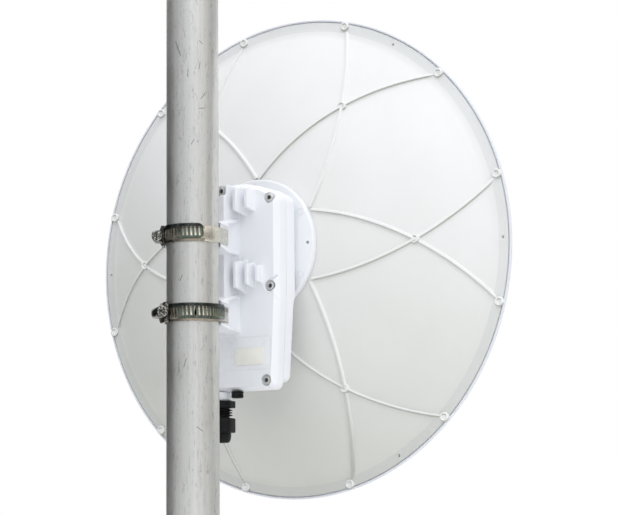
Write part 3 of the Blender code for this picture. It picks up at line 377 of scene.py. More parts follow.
spigot = inner - FIT
seat = POLE_LENGTH + FIT
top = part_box("pole_top_cap")[1][2]
cap = spun(eased([(0, seat - PLUG_DEPTH, 0), (spigot, seat - PLUG_DEPTH, PLUG_EDGE), (spigot, seat, 0),
                  (POLE_RADIUS, seat, 0.0003), (POLE_RADIUS, top, CAP_EDGE), (0, top, 0)]),
           (0, 0, 0), (0, 0, 1), 96)
piece("top_cap", cap, black_plastic, ["pole_top_cap"])
plug = spun(eased([(0, 0, 0), (spigot, 0, PLUG_EDGE), (spigot, PLUG_DEPTH, PLUG_EDGE),
                   (0, PLUG_DEPTH, 0)]), (0, 0, 0), (0, 0, 1), 96)
piece("foot_plug", plug, black_plastic, ["pole_foot_plug"])


# Dish. One injection moulding in white plastic, coloured darker toward the bottom and greyer on the rim
# as painted shade: a 3 mm paraboloid whose rim has a flat band, a groove and a lip, measured behind the
# rim's edge.
rim_low, rim_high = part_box("reflector")
RIM_DEPTH = 0.004
RIM_Y = -0.1463
DISH_HEIGHT = (rim_low[2] + rim_high[2]) / 2
DISH_RADIUS = (rim_high[0] - rim_low[0]) / 2
FOCAL_LENGTH = 0.150
SHELL_THICKNESS = 0.003
BAND_RADIUS = 0.188
BAND_OUTER = 0.1967
BAND_BEHIND = 0.0012
GROOVE_BEHIND = -0.0015
LIP_RADIUS = 0.1984
HUB_SEAT_RADIUS = 0.060
HUB_SEAT_BEHIND = 0.0548
HUB_SEAT_THICKNESS = 0.004
HUB_BORE = 0.0240
RIM_HOLE_CIRCLE = 0.1932
RIM_HOLE_RADIUS = 0.0012
SHELL_RINGS = 30
SECTORS = 6
PAINTED_SHADE_TOWARD = (0.26, 0, -0.966)
PAINTED_SHADE_FROM = -0.12
PAINTED_SHADE_TO = 0.20
BAND_SHADE_FROM = BAND_RADIUS + 0.0018
LIP_SHADE_FROM = BAND_OUTER + 0.0008


def dish_back(radius):
    """How far the paraboloid's back lies behind the rim's edge."""
    return BAND_BEHIND + (BAND_RADIUS ** 2 - radius ** 2) / (4 * FOCAL_LENGTH)


def on_dish(profile, steps, across=0.0, up=0.0):
    """Spin a (radius, behind) profile about a line parallel to the dish's axis."""
    return spun(profile, (across, RIM_Y, DISH_HEIGHT + up), (0, 1, 0), steps)


def rod(radius, low, high):
    """The profile of a plain round bar."""
    return [(0, low), (radius, low), (radius, high), (0, high)]


def bearing_spot(radius, angle):
    """Across and up of a point on the dish's face; angle 0 is -X, and 90 degrees is up."""
    return -radius * math.cos(angle), radius * math.sin(angle)


def gathered(shapes):
    """Several closed bmeshes in one."""
    whole = bmesh.new()
    for shape in shapes:
        mesh = bpy.data.meshes.new("gathered")
        shape.to_mesh(mesh)
        shape.free()
        whole.from_mesh(mesh)
        bpy.data.meshes.remove(mesh)
    return whole


def settle(made, sharp=35):
    """Turn a piece's modifiers into its mesh."""
    graph = bpy.context.evaluated_depsgraph_get()
    result = bpy.data.meshes.new_from_object(made.evaluated_get(graph), depsgraph=graph)
    made.modifiers.clear()
    made.data = result
    result.shade_smooth()
    result.set_sharp_from_angle(angle=math.radians(sharp))
    return made


def cut(made, tool, operation="DIFFERENCE", sharp=35):
    """Cut a closed bmesh out of a piece, or join it on."""
    bmesh.ops.recalc_face_normals(tool, faces=tool.faces)
    other = in_scene("tool", tool)
    change = made.modifiers.new("cut", "BOOLEAN")
    change.operation = operation
    change.solver = "EXACT"
    change.object = other
    settle(made, sharp)
    bpy.data.objects.remove(other)
    return made


def eased_share(value, low, high):
    """A share that goes smoothly from 0 at low to 1 at high."""
    node = add(value.id_data, "MapRange", interpolation_type="SMOOTHSTEP", From_Min=low, From_Max=high)
    give(node.inputs["Value"], value)
    return node.outputs[0]


dish_plastic, shader = finish("dish_plastic", (0.83, 0.835, 0.83), 0.42)
cloudy = noise(shader, 9, 3, 0.5)
dusty = noise(shader, 60, 5, 0.6, (1, 1, 0.3))
grain = noise(shader, 1300, 2, 0.5)
spot = on_object(shader.id_data, move=(0, 0, -DISH_HEIGHT))
downward = vector_of("DOT_PRODUCT", spot, PAINTED_SHADE_TOWARD)
off_axis = vector_of("LENGTH", vector_of("MULTIPLY", spot, (1, 0, 1)))
moulded = ramp(cloudy, (0.35, (0.815, 0.82, 0.81)), (0.65, (0.85, 0.855, 0.855)))
moulded = stained(moulded, dusty, 0.55, 0.80, 0.10, (0.70, 0.70, 0.66))
# Painted shade: the plastic is coloured darker toward the bottom and the +X side.
moulded = blend(eased_share(downward, PAINTED_SHADE_FROM, PAINTED_SHADE_TO), moulded, (0.80, 0.805, 0.765),
                "MULTIPLY")
# Painted shade: the rim's flat band is coloured a little greyer, and the groove's outer half and the lip
# a fixed blue-grey.
moulded = blend(math_of("GREATER_THAN", off_axis, BAND_SHADE_FROM), moulded, (0.91, 0.92, 0.925),
                "MULTIPLY")
moulded = blend(math_of("GREATER_THAN", off_axis, LIP_SHADE_FROM), moulded, (0.76, 0.785, 0.83))
give(shader.inputs["Base Color"], moulded)
vary(shader, "Roughness", dusty, (0.35, 0.38), (0.70, 0.52))
relief(shader, grain, 0.08, 0.0001)

back_radii = [HUB_SEAT_RADIUS + (BAND_RADIUS - HUB_SEAT_RADIUS) * i / SHELL_RINGS
              for i in range(SHELL_RINGS + 1)]
front_edge = math.sqrt(BAND_RADIUS ** 2
                       + 4 * FOCAL_LENGTH * (BAND_BEHIND - SHELL_THICKNESS + RIM_DEPTH))
seat_front = HUB_SEAT_BEHIND - HUB_SEAT_THICKNESS
profile = [(HUB_BORE, seat_front), (HUB_BORE, HUB_SEAT_BEHIND),
           (HUB_SEAT_RADIUS - 0.002, HUB_SEAT_BEHIND)]
profile += [(radius, dish_back(radius)) for radius in back_radii]
profile += eased([(BAND_OUTER, BAND_BEHIND, 0.0006), (BAND_OUTER, GROOVE_BEHIND, 0.0005),
                  (LIP_RADIUS, GROOVE_BEHIND, 0.0005), (LIP_RADIUS, 0, 0.0004),
                  (DISH_RADIUS, 0, 0.0006), (DISH_RADIUS, -RIM_DEPTH, 0.0006)], 5)[1:-1]
profile += [(front_edge, -RIM_DEPTH)]
profile += [(radius, dish_back(radius) - SHELL_THICKNESS) for radius in reversed(back_radii)]
profile += [(HUB_SEAT_RADIUS - 0.003, seat_front)]
dish_shell = piece("dish_shell", on_dish(profile, 240), dish_plastic, ["reflector"], 25)
holes = []
for sector in range(SECTORS):
    across, up = bearing_spot(RIM_HOLE_CIRCLE, math.radians(60 * sector))
    holes.append(on_dish(rod(RIM_HOLE_RADIUS, -0.01, 0.01), 20, across, up))
cut(dish_shell, gathered(holes), sharp=25)


# Dish ribs. Twelve thin ribs of the same moulding stiffen it: each runs in an arc from the hub
# over a crossing to a boss on the rim, with a rounded crest and painted shade on its underside.
RIB_START_RADIUS = 0.0581
RIB_START_ANGLE = math.radians(28.6)
CROSSING_RADIUS = 0.1319
BOSS_CIRCLE = 0.1955
BOSS_ANGLE = math.radians(15)
RIB_SECTION = ((-0.0018, -0.0006), (-0.00145, 0), (-0.00125, 0.0013), (-0.0009, 0.0020),
               (-0.0003, 0.0022), (0.0003, 0.0022), (0.0009, 0.0020), (0.00125, 0.0013),
               (0.00145, 0), (0.0018, -0.0006))
RIB_STEPS = 60
RIB_UNDERLAP = 0.0001
UNDERSIDE_SHADE_FROM = -0.10
UNDERSIDE_SHADE_TO = -0.55
rib_plastic = dish_plastic.copy()
rib_plastic.name = "rib_plastic"
shader = rib_plastic.node_tree.nodes["Principled BSDF"]
# Painted shade: faces that look downward are coloured grey, on the ribs and the bosses alike.
facing = add(rib_plastic.node_tree, "NewGeometry").outputs["Normal"]
underside = eased_share(vector_of("DOT_PRODUCT", facing, (0, 0, 1)), UNDERSIDE_SHADE_FROM, UNDERSIDE_SHADE_TO)
unshaded_tone = ramp(noise(shader, 9, 3, 0.5), (0.35, (0.82, 0.825, 0.815)), (0.65, (0.86, 0.865, 0.86)))
give(shader.inputs["Base Color"], blend(underside, unshaded_tone, (0.47, 0.48, 0.44)))


def circle_through(first, second, third):
    """The centre of the circle through three points of a plane."""
    (ax, ay), (bx, by), (cx, cy) = first, second, third
    d = 2 * (ax * (by - cy) + bx * (cy - ay) + cx * (ay - by))
    a, b, c = ax ** 2 + ay ** 2, bx ** 2 + by ** 2, cx ** 2 + cy ** 2
    return Vector(((a * (by - cy) + b * (cy - ay) + c * (ay - by)) / d,
                   (a * (cx - bx) + b * (ax - cx) + c * (bx - ax)) / d))


ribs = bmesh.new()
for sector in range(SECTORS):
    turn = Matrix.Rotation(math.radians(60 * sector), 2)
    for side in (-1, 1):
        start = turn @ Vector((RIB_START_RADIUS * math.cos(RIB_START_ANGLE),
                               side * RIB_START_RADIUS * math.sin(RIB_START_ANGLE)))
        end = turn @ Vector((BOSS_CIRCLE * math.cos(BOSS_ANGLE),
                             -side * BOSS_CIRCLE * math.sin(BOSS_ANGLE)))
        centre = circle_through(start, turn @ Vector((CROSSING_RADIUS, 0)), end)
        outward = (start - centre).normalized()
        lift = 0.0 if side > 0 else -RIB_UNDERLAP
        edges = outline(ribs, [(*(start + outward * aside), high + lift) for aside, high in RIB_SECTION])
        bmesh.ops.spin(ribs, geom=edges, cent=(*centre, 0), axis=(0, 0, 1), dvec=(0, 0, 0),
                       angle=-(start - centre).angle_signed(end - centre), steps=RIB_STEPS,
                       use_merge=False, use_duplicate=False)
bmesh.ops.holes_fill(ribs, edges=[edge for edge in ribs.edges if edge.is_boundary], sides=0)
for vertex in ribs.verts:
    flat = Vector(vertex.co[:2])
    vertex.co = (-flat.x, RIM_Y + dish_back(flat.length) + vertex.co.z, DISH_HEIGHT + flat.y)
piece("dish_ribs", ribs, rib_plastic)


# Dish bosses. Ejector bosses of the same moulding: twelve on the rim where the ribs end, and
# six where they cross, each a low round ridge about a dimple.
BOSS_RADIUS = 0.0038
BOSS_TOP = 0.0020
BOSS_DEPTH = 0.0045
RIDGE_OUTER = 0.0031
RIDGE_INNER = 0.0024
DIMPLE_RADIUS = 0.0016
DIMPLE_DEPTH = 0.0008
CROSSING_TOP = dish_back(CROSSING_RADIUS) + 0.0023


def boss(across, up, top):
    """One boss, with a dimple in its end."""
    low = top - BOSS_DEPTH
    dimple = top - DIMPLE_DEPTH
    return on_dish(eased([(0, low, 0), (BOSS_RADIUS, low, 0), (BOSS_RADIUS, top - 0.0004, 0.0003),
                          (RIDGE_OUTER, top, 0.0005), (RIDGE_INNER, top, 0.0004),
                          (DIMPLE_RADIUS, dimple, 0.0005), (0, dimple, 0)]), 40, across, up)


bosses = []
for sector in range(SECTORS):
    middle = math.radians(60 * sector)
    bosses.append(boss(*bearing_spot(CROSSING_RADIUS, middle), CROSSING_TOP))
    for side in (-1, 1):
        bosses.append(boss(*bearing_spot(BOSS_CIRCLE, middle + side * BOSS_ANGLE), BOSS_TOP))
# The bosses carry the ribs' painted underside shade.
piece("dish_bosses", gathered(bosses), rib_plastic)


# Hub plate. A round moulded plate behind the dish that the ribs run up to, with a bright
# rolled edge, four small screw holes and four faint round mould marks.
HUB_RADIUS = 0.0555
HUB_BORE_BACK = 0.0250
HUB_BACK = 0.0600
HUB_UP = 0.0010
HUB_HOLE_CIRCLE = 0.0500
HUB_HOLE_RADIUS = 0.0014
MARK_ANGLES = (-150, -30, 30, 150)
MARK_RADIUS = 0.0030
MARK_WIDTH = 0.0005
MARK_DEPTH = 0.0004
hub_plastic, shader = finish("hub_plastic", (0.90, 0.91, 0.925), 0.42)
cloudy = noise(shader, 12, 3, 0.5)
grain = noise(shader, 1300, 2, 0.5)
vary(shader, "Base Color", cloudy, (0.35, (0.845, 0.865, 0.89)), (0.65, (0.875, 0.89, 0.915)))
relief(shader, grain, 0.08, 0.0001)
low = HUB_SEAT_BEHIND + FIT
hub = piece("hub_plate_moulding",
            on_dish(eased([(HUB_BORE_BACK, low, 0), (HUB_RADIUS, low, 0.0003),
                           (HUB_RADIUS, HUB_BACK, 0.0016), (HUB_BORE_BACK, HUB_BACK, 0.0004)], 6),
                    192, 0, HUB_UP), hub_plastic, ["hub_plate"], 50)
mark = [(MARK_RADIUS - MARK_WIDTH, HUB_BACK - MARK_DEPTH), (MARK_RADIUS, HUB_BACK - MARK_DEPTH),
        (MARK_RADIUS, HUB_BACK + 0.001), (MARK_RADIUS - MARK_WIDTH, HUB_BACK + 0.001)]
tools = []
for quarter in range(4):
    across, up = bearing_spot(HUB_HOLE_CIRCLE, quarter * math.pi / 2)
    tools.append(on_dish(rod(HUB_HOLE_RADIUS, low - 0.002, HUB_BACK + 0.002), 24, across, up + HUB_UP))
    across, up = bearing_spot(HUB_HOLE_CIRCLE, math.radians(MARK_ANGLES[quarter]))
    tools.append(on_dish(mark, 32, across, up + HUB_UP))
cut(hub, gathered(tools), sharp=50)


# Radio box. Two aluminium die castings with soft edges, powder-coated a cool white: the base
# on the hub, and the rear cover with its spine, fins and the two saddles that meet the pole.
COAT_VOXEL = 0.00045
COAT_PASSES = 3
COAT_MOST_TRIANGLES = 190000
box_paint, shader = finish("box_paint", (0.86, 0.88, 0.92), 0.45)
cloudy = noise(shader, 14, 3, 0.5)
orange_peel = noise(shader, 700, 3, 0.55)
settled = noise(shader, 90, 5, 0.65, (1, 1, 0.25))
coat = ramp(cloudy, (0.35, (0.845, 0.865, 0.905)), (0.65, (0.875, 0.895, 0.93)))
coat = stained(coat, settled, 0.58, 0.82, 0.12, (0.66, 0.66, 0.64))
give(shader.inputs["Base Color"], coat)
vary(shader, "Roughness", settled, (0.35, 0.40), (0.70, 0.55))
relief(shader, orange_peel, 0.12, 0.0002)


def solid_of(node):
    """A node's solid as a bmesh, its loose triangles joined."""
    shape = bmesh.new()
    shape.from_mesh(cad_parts[node].data)
    bmesh.ops.remove_doubles(shape, verts=shape.verts, dist=1e-6)
    return shape


def skinned(made, voxel):
    """Remesh an object finely, so that what overlaps in it becomes one skin."""
    skin = made.modifiers.new("skin", "REMESH")
    skin.mode = "VOXEL"
    skin.voxel_size = voxel


def casting(name, node, tools=(), beads=()):
    """A casting's skin: its solid, cut and beaded, remeshed finely with its edges softened."""
    made = piece(name, solid_of(node), box_paint, [node], recalc=False)
    for tool in tools:
        cut(made, tool)
    for bead in beads:
        cut(made, bead, "UNION")
    skinned(made, COAT_VOXEL)
    soft = made.modifiers.new("soft", "SMOOTH")
    soft.iterations = COAT_PASSES
    settle(made, 180)
    count = sum(len(face.vertices) - 2 for face in made.data.polygons)
    if count > COAT_MOST_TRIANGLES:
        thin = made.modifiers.new("thin", "DECIMATE")
        thin.ratio = COAT_MOST_TRIANGLES / count
        settle(made, 180)


casting("radio_base_casting", "radio_base")
REAR_FACE = 0.0910
REAR_FACE_HALF = 0.0380
FLANK_FALL = 5 / 3
SCOOP_RADIUS = 0.0015
SCOOP_RISE = 0.0003
SCOOP_RUN = ((0.0341, -0.0316), (0.0398, -0.0281))
WELT_RADIUS = 0.0007
WELT_RISE = -0.0002
WELT_CIRCLE = 0.0053
WELT_MIDDLE = (0.0341, -0.0356)
WELT_ANGLES = [math.radians(180 + 13 * step) for step in range(11)]
WELT_END = (0.0398, -0.0460)
BALL_VOXEL = 0.0002


def on_cover(across, up, rise):
    """A point above the cover's rear face, or above the flank where that slopes away."""
    fall = FLANK_FALL * max(abs(across) - REAR_FACE_HALF, 0)
    return Vector((across, RIM_Y + REAR_FACE - fall + rise, DISH_HEIGHT + up))


def chain(points, radius):
    """Balls along a line, which read as one rounded groove or welt once they are remeshed."""
    shapes = []
    for first, last in zip(points, points[1:]):
        count = max(2, round((last - first).length / (0.5 * radius)))
        for step in range(count):
            ball = bmesh.new()
            bmesh.ops.create_icosphere(ball, subdivisions=2, radius=radius,
                                       matrix=Matrix.Translation(first.lerp(last, step / count)))
            shapes.append(ball)
    return shapes


def fused(shapes):
    """Several overlapping closed bmeshes made into one by a fine remesh."""
    made = in_scene("fused", gathered(shapes))
    skinned(made, BALL_VOXEL)
    settle(made)
    whole = bmesh.new()
    whole.from_mesh(made.data)
    bpy.data.objects.remove(made)
    return whole


scoops = []
welts = []
welt_run = [(WELT_MIDDLE[0] + WELT_CIRCLE * math.cos(angle),
             WELT_MIDDLE[1] + WELT_CIRCLE * math.sin(angle)) for angle in WELT_ANGLES] + [WELT_END]
for side in (-1, 1):
    scoops += chain([on_cover(-side * across, up, SCOOP_RISE) for across, up in SCOOP_RUN],
                    SCOOP_RADIUS)
    welts += chain([on_cover(-side * across, up, WELT_RISE) for across, up in welt_run], WELT_RADIUS)
casting("rear_cover_casting", "rear_cover", [fused(scoops)], [fused(welts)])


# Lid gasket. A light grey silicone cord between the two castings, pressed nearly flush with
# their edges, so that only a hairline of it shows.
GASKET_SPREAD = 0.0010
GASKET_SWELL = 0.0004
seal_silicone, shader = finish("seal_silicone", (0.86, 0.88, 0.92), 0.6)
grain = noise(shader, 900, 2, 0.5)
vary(shader, "Base Color", grain, (0.3, (0.85, 0.87, 0.91)), (0.7, (0.87, 0.89, 0.925)))
relief(shader, grain, 0.15, 0.0001)


def middle_of(node):
    """The middle of a node's box."""
    low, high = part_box(node)
    return (Vector(low) + Vector(high)) / 2


def widened(node, spread):
    """A thin node's solid with its outline moved out, seen along Y."""
    shape = solid_of(node)
    middle = middle_of(node)
    half = Vector(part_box(node)[1]) - middle
    for vertex in shape.verts:
        for axis in (0, 2):
            vertex.co[axis] += (vertex.co[axis] - middle[axis]) * spread / half[axis]
    return shape


gasket = widened("lid_gasket", GASKET_SPREAD)
gasket_middle = middle_of("lid_gasket")
for vertex in gasket.verts:
    vertex.co.y += math.copysign(GASKET_SWELL, vertex.co.y - gasket_middle.y)
piece("gasket_cord", gasket, seal_silicone, ["lid_gasket"])


# Cover screws. Seven stainless socket-head screws, turned, with a round edge and a six-sided
# socket half full of dark dirt that is also painted shade, deep in their pockets. Sizes: head
# radius and height, shank radius, socket radius and depth.
COVER_SCREW = (0.0031, 0.0030, 0.0015, 0.0019, 0.0018)
SOCKET_CLEAR = 0.0007
DIRT_AND_SHADE_GAP = 0.0001
turned_steel, shader = finish("turned_steel", (0.76, 0.76, 0.75), 0.34, 0.85)
rings = noise(shader, 2600, 2, 0.5)
tarnish = noise(shader, 500, 3, 0.6)
vary(shader, "Base Color", tarnish, (0.35, (0.66, 0.66, 0.64)), (0.65, (0.84, 0.84, 0.83)))
vary(shader, "Roughness", tarnish, (0.3, 0.26), (0.7, 0.42))
relief(shader, rings, 0.15, 0.00005)
# Near-black dirt that is also painted shade, for screw sockets and driver slots.
dirt_and_shade, shader = finish("dirt_and_shade", (0.05, 0.05, 0.048), 0.85)
crumbs = noise(shader, 3000, 3, 0.6)
vary(shader, "Base Color", crumbs, (0.3, (0.030, 0.030, 0.029)), (0.7, (0.085, 0.083, 0.078)))
relief(shader, crumbs, 0.5, 0.0002)


def hexagon(radius, length, place, turned):
    """A six-sided bar with its middle at a place, its axis turned from Z."""
    shape = bmesh.new()
    bmesh.ops.create_cone(shape, cap_ends=True, segments=6, radius1=radius, radius2=radius,
                          depth=length, matrix=Matrix.Translation(place) @ turned)
    return shape


def socket_screw(name, node, sizes, toward=1):
    """A socket-head screw along Y, made where its node is, with dark dirt in its socket that is also
    painted shade.
    """
    head_radius, head_height, shank, socket, socket_depth = sizes
    middle = middle_of(node)
    tip, seat = (corner[1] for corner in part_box(node)[::toward])

    def at(depth):
        return seat - toward * depth

    length = abs(seat - tip)
    profile = eased([(0, at(0), 0), (head_radius, at(0), 0.0006), (head_radius, at(head_height), 0.0002),
                     (shank, at(head_height), 0), (shank, at(length), 0.0003), (0, at(length), 0)])
    made = piece(name, spun(profile, (middle.x, 0, middle.z), (0, 1, 0), 48), turned_steel,
                 [node], 30)
    along_y = Matrix.Rotation(math.pi / 2, 4, "X")
    filled = socket_depth - DIRT_AND_SHADE_GAP - SOCKET_CLEAR
    dirt_and_shade_middle = (middle.x, at(socket_depth - DIRT_AND_SHADE_GAP - filled / 2), middle.z)
    piece(f"{name}_dirt", hexagon(socket - DIRT_AND_SHADE_GAP, filled, dirt_and_shade_middle, along_y), dirt_and_shade, sharp=30)
    cut(made, hexagon(socket, 2 * socket_depth, (middle.x, seat, middle.z), along_y), sharp=30)


for place in ("top", "upper_left", "upper_right", "middle_left", "middle_right", "lower_left",
              "lower_right"):
    socket_screw(f"socket_screw_{place}", f"cover_screw_{place}", COVER_SCREW)


# Labels. A blank rating label of white polyester film lies in its recess, and a smaller blank
# sticker of cream paper is stuck on it. Both have slightly rounded edges.
def film(name, node, material, rounding, spread):
    """A label: its solid, spread to its recess's walls, with a fine round edge."""
    shape = widened(node, spread)
    bmesh.ops.dissolve_limit(shape, angle_limit=math.radians(1), verts=shape.verts, edges=shape.edges)
    back = max(vertex.co.y for vertex in shape.verts)
    edges = [edge for edge in shape.edges if min(vertex.co.y for vertex in edge.verts) > back - 1e-5]
    bmesh.ops.bevel(shape, geom=edges, offset=rounding, segments=2, profile=0.5, affect="EDGES",
                    material=-1)
    piece(name, shape, material, [node], 50)


label_film, shader = finish("label_film", (0.84, 0.86, 0.89), 0.32)
ripple = noise(shader, 55, 2, 0.5)
handled = noise(shader, 240, 4, 0.6)
vary(shader, "Base Color", handled, (0.35, (0.825, 0.85, 0.885)), (0.65, (0.86, 0.88, 0.91)))
vary(shader, "Roughness", handled, (0.3, 0.26), (0.7, 0.42))
relief(shader, ripple, 0.10, 0.0008)
film("rating_label", "label_plate", label_film, 0.0002, 0.0005)

sticker_paper, shader = finish("sticker_paper", (0.76, 0.75, 0.66), 0.6)
fibres = noise(shader, 1100, 4, 0.6, (1, 1, 2.5))
faded = noise(shader, 130, 3, 0.5)
paper = ramp(faded, (0.35, (0.86, 0.855, 0.79)), (0.65, (0.90, 0.895, 0.84)))
paper = stained(paper, fibres, 0.55, 0.75, 0.3, (0.82, 0.81, 0.74))
give(shader.inputs["Base Color"], paper)
relief(shader, fibres, 0.15, 0.00005)
film("blank_sticker", "label_sticker", sticker_paper, 0.0001, 0.0)


# Vent plug and gland boss. The black breather plug is a ribbed push-fit button, and the boss
# beside it is a knurled white collar that the gland screws into.
VENT_RADIUS = 0.0049
VENT_FLUTES = 24
VENT_FLUTE_DEPTH = 0.00015
COLLAR_RADIUS = 0.0076
COLLAR_FLUTES = 40
COLLAR_FLUTE_DEPTH = 0.0004


def column(profile, node, steps=64):
    """Spin a (radius, up) profile about the upright line through a node's middle."""
    middle = middle_of(node)
    return spun(profile, (middle.x, middle.y, 0), (0, 0, 1), steps)


def fluted(shape, node, flutes, least, depth):
    """Press shallow flutes into the outer wall of an upright column."""
    middle = middle_of(node).xy
    for vertex in shape.verts:
        spoke = Vector(vertex.co[:2]) - middle
        if spoke.length > least:
            dip = depth * (0.5 - 0.5 * math.cos(flutes * math.atan2(spoke.y, spoke.x)))
            vertex.co.x, vertex.co.y = middle + spoke * (1 - dip / spoke.length)
    return shape


low, high = (corner[2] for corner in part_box("vent_plug"))
vent = column(eased([(0, high, 0), (VENT_RADIUS, high, 0.0004), (VENT_RADIUS, low + 0.0038, 0.0003),
                     (VENT_RADIUS - 0.0005, low + 0.0034, 0.0003),
                     (VENT_RADIUS - 0.0002, low + 0.0030, 0.0003), (VENT_RADIUS, low, 0.0010),
                     (0.0026, low, 0.0002), (0.0022, low + 0.0006, 0.0002), (0, low + 0.0006, 0)], 3),
              "vent_plug", 96)
piece("breather_plug", fluted(vent, "vent_plug", VENT_FLUTES, VENT_RADIUS - 0.0001, VENT_FLUTE_DEPTH),
      black_plastic, ["vent_plug"], 40)

low, high = (corner[2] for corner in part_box("gland_boss"))
collar = column(eased([(0, high, 0), (COLLAR_RADIUS - 0.0003, high, 0),
                       (COLLAR_RADIUS, high - 0.0006, 0.0002), (COLLAR_RADIUS, low + 0.0006, 0.0002),
                       (COLLAR_RADIUS - 0.0003, low, 0), (0, low, 0)], 2), "gland_boss", 320)
piece("knurled_collar",
      fluted(collar, "gland_boss", COLLAR_FLUTES, COLLAR_RADIUS - 0.0004, COLLAR_FLUTE_DEPTH),
      box_paint, ["gland_boss"], 40)


# Cable gland. Black polyamide: a six-sided flange under the collar, a threaded body, and a
# six-sided nut with a domed end round a rubber seal. No cable is fitted.
GLAND_RADIUS = 0.0113
GLAND_TURN = 0.2
GLAND_BORE = 0.0052
THREAD_RADIUS = 0.0073
THREAD_PITCH = 0.0020
THREAD_DEPTH = 0.0009
TOOTH_DEPTH = 0.0024
FLANGE_LENGTH = 0.0055
NUT_LENGTH = 0.0115
DOME = ((0.0077, 0.0030, 0.0010), (0.0071, 0.0058, 0.0012), (0.0062, 0.0077, 0.0006))
SEAL_BORE = 0.0034


def thread(core, depth, pitch, turns, centre, axis, across, steps=40):
    """A closed helical ridge round a core, from one tooth spun along the axis."""
    shape = bmesh.new()
    centre, axis, across = (Vector(value) for value in (centre, axis, across))
    tooth = [(core - 0.0003, 0.0), (core - 0.0003, 0.86 * pitch), (core, 0.86 * pitch),
             (core + depth, 0.55 * pitch), (core + depth, 0.31 * pitch), (core, 0.0)]
    edges = outline(shape, [centre + across * radius + axis * along for radius, along in tooth])
    count = round(steps * turns)
    bmesh.ops.spin(shape, geom=edges, cent=centre, axis=axis, dvec=axis * (pitch * turns / count),
                   angle=math.tau * turns, steps=count, use_merge=False, use_duplicate=False)
    bmesh.ops.holes_fill(shape, edges=[edge for edge in shape.edges if edge.is_boundary], sides=0)
    return shape


def six_sided(low, high, broken):
    """An upright hexagon of the gland, with broken edges."""
    middle = (*middle_of("gland_body").xy, (low + high) / 2)
    shape = hexagon(GLAND_RADIUS, high - low, middle, Matrix.Rotation(GLAND_TURN, 4, "Z"))
    bmesh.ops.bevel(shape, geom=shape.edges[:], offset=broken, segments=3, profile=0.5,
                    affect="EDGES", material=-1)
    return shape


body_low, body_high = (corner[2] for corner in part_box("gland_body"))
nut_low, nut_high = (corner[2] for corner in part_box("gland_nut"))
flange_low = body_high - FLANGE_LENGTH
core = THREAD_RADIUS - THREAD_DEPTH
body = piece("gland_thread_body", six_sided(flange_low, body_high, 0.0005), black_plastic,
             ["gland_body"], 30)
cut(body, column(rod(core, flange_low + 0.003, body_low), "gland_body"), "UNION", 30)
cut(body, column(rod(GLAND_BORE, flange_low + 0.002, body_low - 0.01), "gland_body"), sharp=30)
turns = (flange_low - nut_high - 0.0004) / THREAD_PITCH - 0.9
thread_foot = (*middle_of("gland_body").xy, nut_high + 0.0002)
helix = thread(core, TOOTH_DEPTH, THREAD_PITCH, turns, thread_foot, (0, 0, 1), (1, 0, 0), 64)
piece("gland_thread", helix, black_plastic, sharp=30)

nut_foot = nut_high - NUT_LENGTH
nut = piece("gland_cap_nut", six_sided(nut_foot, nut_high, 0.0007), black_plastic,
            ["gland_nut"], 30)
dome = eased([(0, nut_foot + 0.001, 0), (DOME[0][0], nut_foot + 0.001, 0)]
             + [(radius, nut_foot - depth, ease) for radius, depth, ease in DOME]
             + [(0, nut_low, 0)], 5)
cut(nut, column(dome, "gland_body", 96), "UNION", 30)
clearance = THREAD_RADIUS + FIT
cut(nut, column([(0, nut_high + 0.002), (clearance, nut_high + 0.002), (clearance, body_low - FIT),
                 (GLAND_BORE + FIT, body_low - FIT), (GLAND_BORE + FIT, nut_low - 0.002),
                 (0, nut_low - 0.002)], "gland_body"), sharp=30)

seal_rubber, shader = finish("seal_rubber", (0.03, 0.03, 0.03), 0.7)
grain = noise(shader, 1200, 3, 0.6)
vary(shader, "Base Color", grain, (0.3, (0.022, 0.022, 0.022)), (0.7, (0.042, 0.042, 0.042)))
relief(shader, grain, 0.2, 0.0001)
low, high = (corner[2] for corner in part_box("gland_seal"))
seal = column(eased([(SEAL_BORE, high, 0.0004), (GLAND_BORE - FIT, high, 0.0004),
                     (GLAND_BORE - FIT, low, 0.0006), (SEAL_BORE, low, 0.0006)], 3), "gland_body")
piece("gland_seal_ring", seal, seal_rubber, ["gland_seal"])


# Clamp bands. Two worm-drive hose clamps of rolled stainless strip, 12 mm wide: the bright band
# goes round the pole and the saddle, and its slotted tail comes out of the housing, coloured dark
# as painted reflection and shade of the same steel.
BAND_EDGE = 0.00012
TAIL_REACH = 0.02175
BAND_LEAVES = math.radians(197.9)
BAND_MIDDLES = (0.2991, 0.2380)
BAND_HALF_WIDTH = 0.006
BETWEEN_BANDS = 0.27
TOWARD_WORMS = (0.811, 0.585, 0)
SHADED_EDGE_FROM = 0.0037
UPPER_EDGE_SHADED_FROM = -0.0092
SHADED_NEAR_WORMS = (0.002, 0.013)
GLINTS = (0.009, 0.017)
GLINT_HALF_WIDTH = 0.0042
band_steel, shader = finish("band_steel", (0.50, 0.50, 0.45), 0.22, 1.0)
rolling = noise(shader, 90, 4, 0.6, (1, 1, 60))
stains = noise(shader, 190, 4, 0.6, (1, 1, 0.7))
folds = noise(shader, 260, 2, 0.5, (1, 1, 0.15))
spot = on_object(shader.id_data)
height = vector_of("DOT_PRODUCT", spot, (0, 0, 1))
is_upper = math_of("GREATER_THAN", height, BETWEEN_BANDS)
aside = math_of("MINIMUM", *[math_of("ABSOLUTE", math_of("SUBTRACT", height, middle))
                             for middle in BAND_MIDDLES])
to_worms = vector_of("DOT_PRODUCT", spot, TOWARD_WORMS)
out_along, past_leaving = [vector_of("DOT_PRODUCT", spot, (math.cos(angle), math.sin(angle), 0))
                           for angle in (BAND_LEAVES, BAND_LEAVES + math.pi / 2)]
